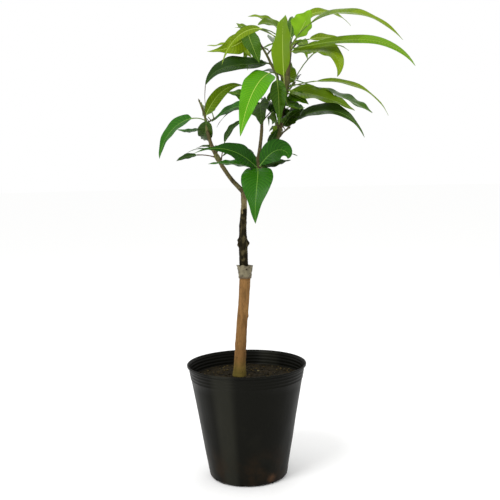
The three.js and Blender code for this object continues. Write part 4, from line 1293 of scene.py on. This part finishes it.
def make_soil(draw):
    """The filling with its lumpy top, and loose crumbs of three kinds on it."""
    fit = POT["wall"] + SOIL["air"]
    low = SOIL["top"] - SOIL["edge_drop"]
    edge = wall_radius(low) - fit - 0.5
    surface = [(radius, soil_height(radius)) for radius in np.linspace(edge, 0, 56)]
    side = [(wall_radius(level) - fit, level) for level in np.linspace(POT["corner"] + 4, low - 4, 8)]
    form = bmesh.new()
    spun(form, [(0, fit)] + corner_points(fit, 4) + side + surface, 150)
    for vertex in form.verts:
        place = np.array(vertex.co) / MM
        if place[2] > low - 1:
            vertex.co.z += min(rough(place, *SOIL_LUMPS), 2) * MM
    piece("soil_body", form, [soil_finish()], "potting_soil")
    crumbs = bmesh.new()
    for number in range(CRUMBS["count"]):
        radius = (edge - 4) * math.sqrt(draw())
        angle = 2 * math.pi * draw()
        size = mix(*CRUMBS["sizes"], draw() ** 2.5)
        spot = (radius * math.cos(angle), radius * math.sin(angle), soil_height(radius) + size * 0.3)
        kind = 0 if draw() < CRUMBS["dark"] else (1 if draw() < CRUMBS["bark"] else 2)
        squash = (mix(*CRUMBS["squash"], draw()), mix(*CRUMBS["squash"], draw()), 0.7)
        for vertex in ball(crumbs, spot, size, squash=squash, detail=1, finish=kind):
            place = np.array(vertex.co) / MM
            dents = [grain(place + shift, 1.1) for shift in (0, 7, 13)]
            vertex.co += Vector(dents) * size * CRUMBS["dents"] * MM
    finishes = [crumb_finish(name, colour) for name, colour in CRUMB_COLOURS.items()]
    piece("soil_crumbs", crumbs, finishes, "potting_soil")


make_pot()
make_soil(seeded(CRUMBS["seed"]))

# ---------------------------------------------------------------- camera, light and floor

# Places and widths in metres, angles in degrees.
FLOOR = dict(radius=30, drop=0.0004)
CAMERA = dict(place=(0.01124, -1.5832, 0.6111), down=5.566, roll=-1.112, lens=57.6, sensor=36)
LAMPS = {
    "key": dict(place=(-1.1, -1.5, 2.3), target=(0, 0, 0.5), width=1.0, watts=30),
    "fill": dict(place=(-0.95, -1.5, 0.3), target=(0, 0, 0.25), width=0.4, watts=3),
    "back": dict(place=(0.4, 1.8, 2.0), target=(0, 0, 0.6), width=1.4, watts=6),
}


def make_camera():
    """Looks at the plant's front from a little above."""
    lens = bpy.data.cameras.new("camera")
    lens.sensor_width = CAMERA["sensor"]
    lens.lens = CAMERA["lens"]
    lens.clip_start, lens.clip_end = 0.05, 50
    camera = bpy.data.objects.new("camera", lens)
    bpy.context.scene.collection.objects.link(camera)
    tilt = Matrix.Rotation(math.radians(90 - CAMERA["down"]), 4, "X")
    roll = Matrix.Rotation(math.radians(CAMERA["roll"]), 4, "Z")
    camera.matrix_world = Matrix.Translation(CAMERA["place"]) @ tilt @ roll
    bpy.context.scene.camera = camera


def make_lamp(name, place, target, width, watts):
    """A soft round lamp that shines from a place at a target."""
    lamp = bpy.data.lights.new(name, "AREA")
    lamp.shape = "DISK"
    lamp.size = width
    lamp.energy = watts
    thing = bpy.data.objects.new(name, lamp)
    bpy.context.scene.collection.objects.link(thing)
    way = (Vector(target) - Vector(place)).to_track_quat("-Z", "Y")
    thing.matrix_world = Matrix.Translation(place) @ way.to_matrix().to_4x4()


def make_stage():
    """A plain pale floor under a plain white sky, with three soft lamps."""
    form = bmesh.new()
    bmesh.ops.create_circle(form, cap_ends=True, segments=96, radius=FLOOR["radius"])
    pale = Recipe("pale_floor", base_color=(0.985, 0.985, 0.98, 1), roughness=0.9, specular_ior_level=0.0)
    floor = thing_from("floor", form, [pale.material])
    floor.location.z = -FLOOR["drop"]
    world = bpy.data.worlds.new("studio")
    world.use_nodes = True
    sky = world.node_tree.nodes["Background"].inputs
    sky["Color"].default_value = (1, 1, 1, 1)
    sky["Strength"].default_value = 1.0
    bpy.context.scene.world = world
    for name, lamp in LAMPS.items():
        make_lamp(name, **lamp)
    bpy.context.scene.view_settings.view_transform = "Standard"


make_camera()
make_stage()
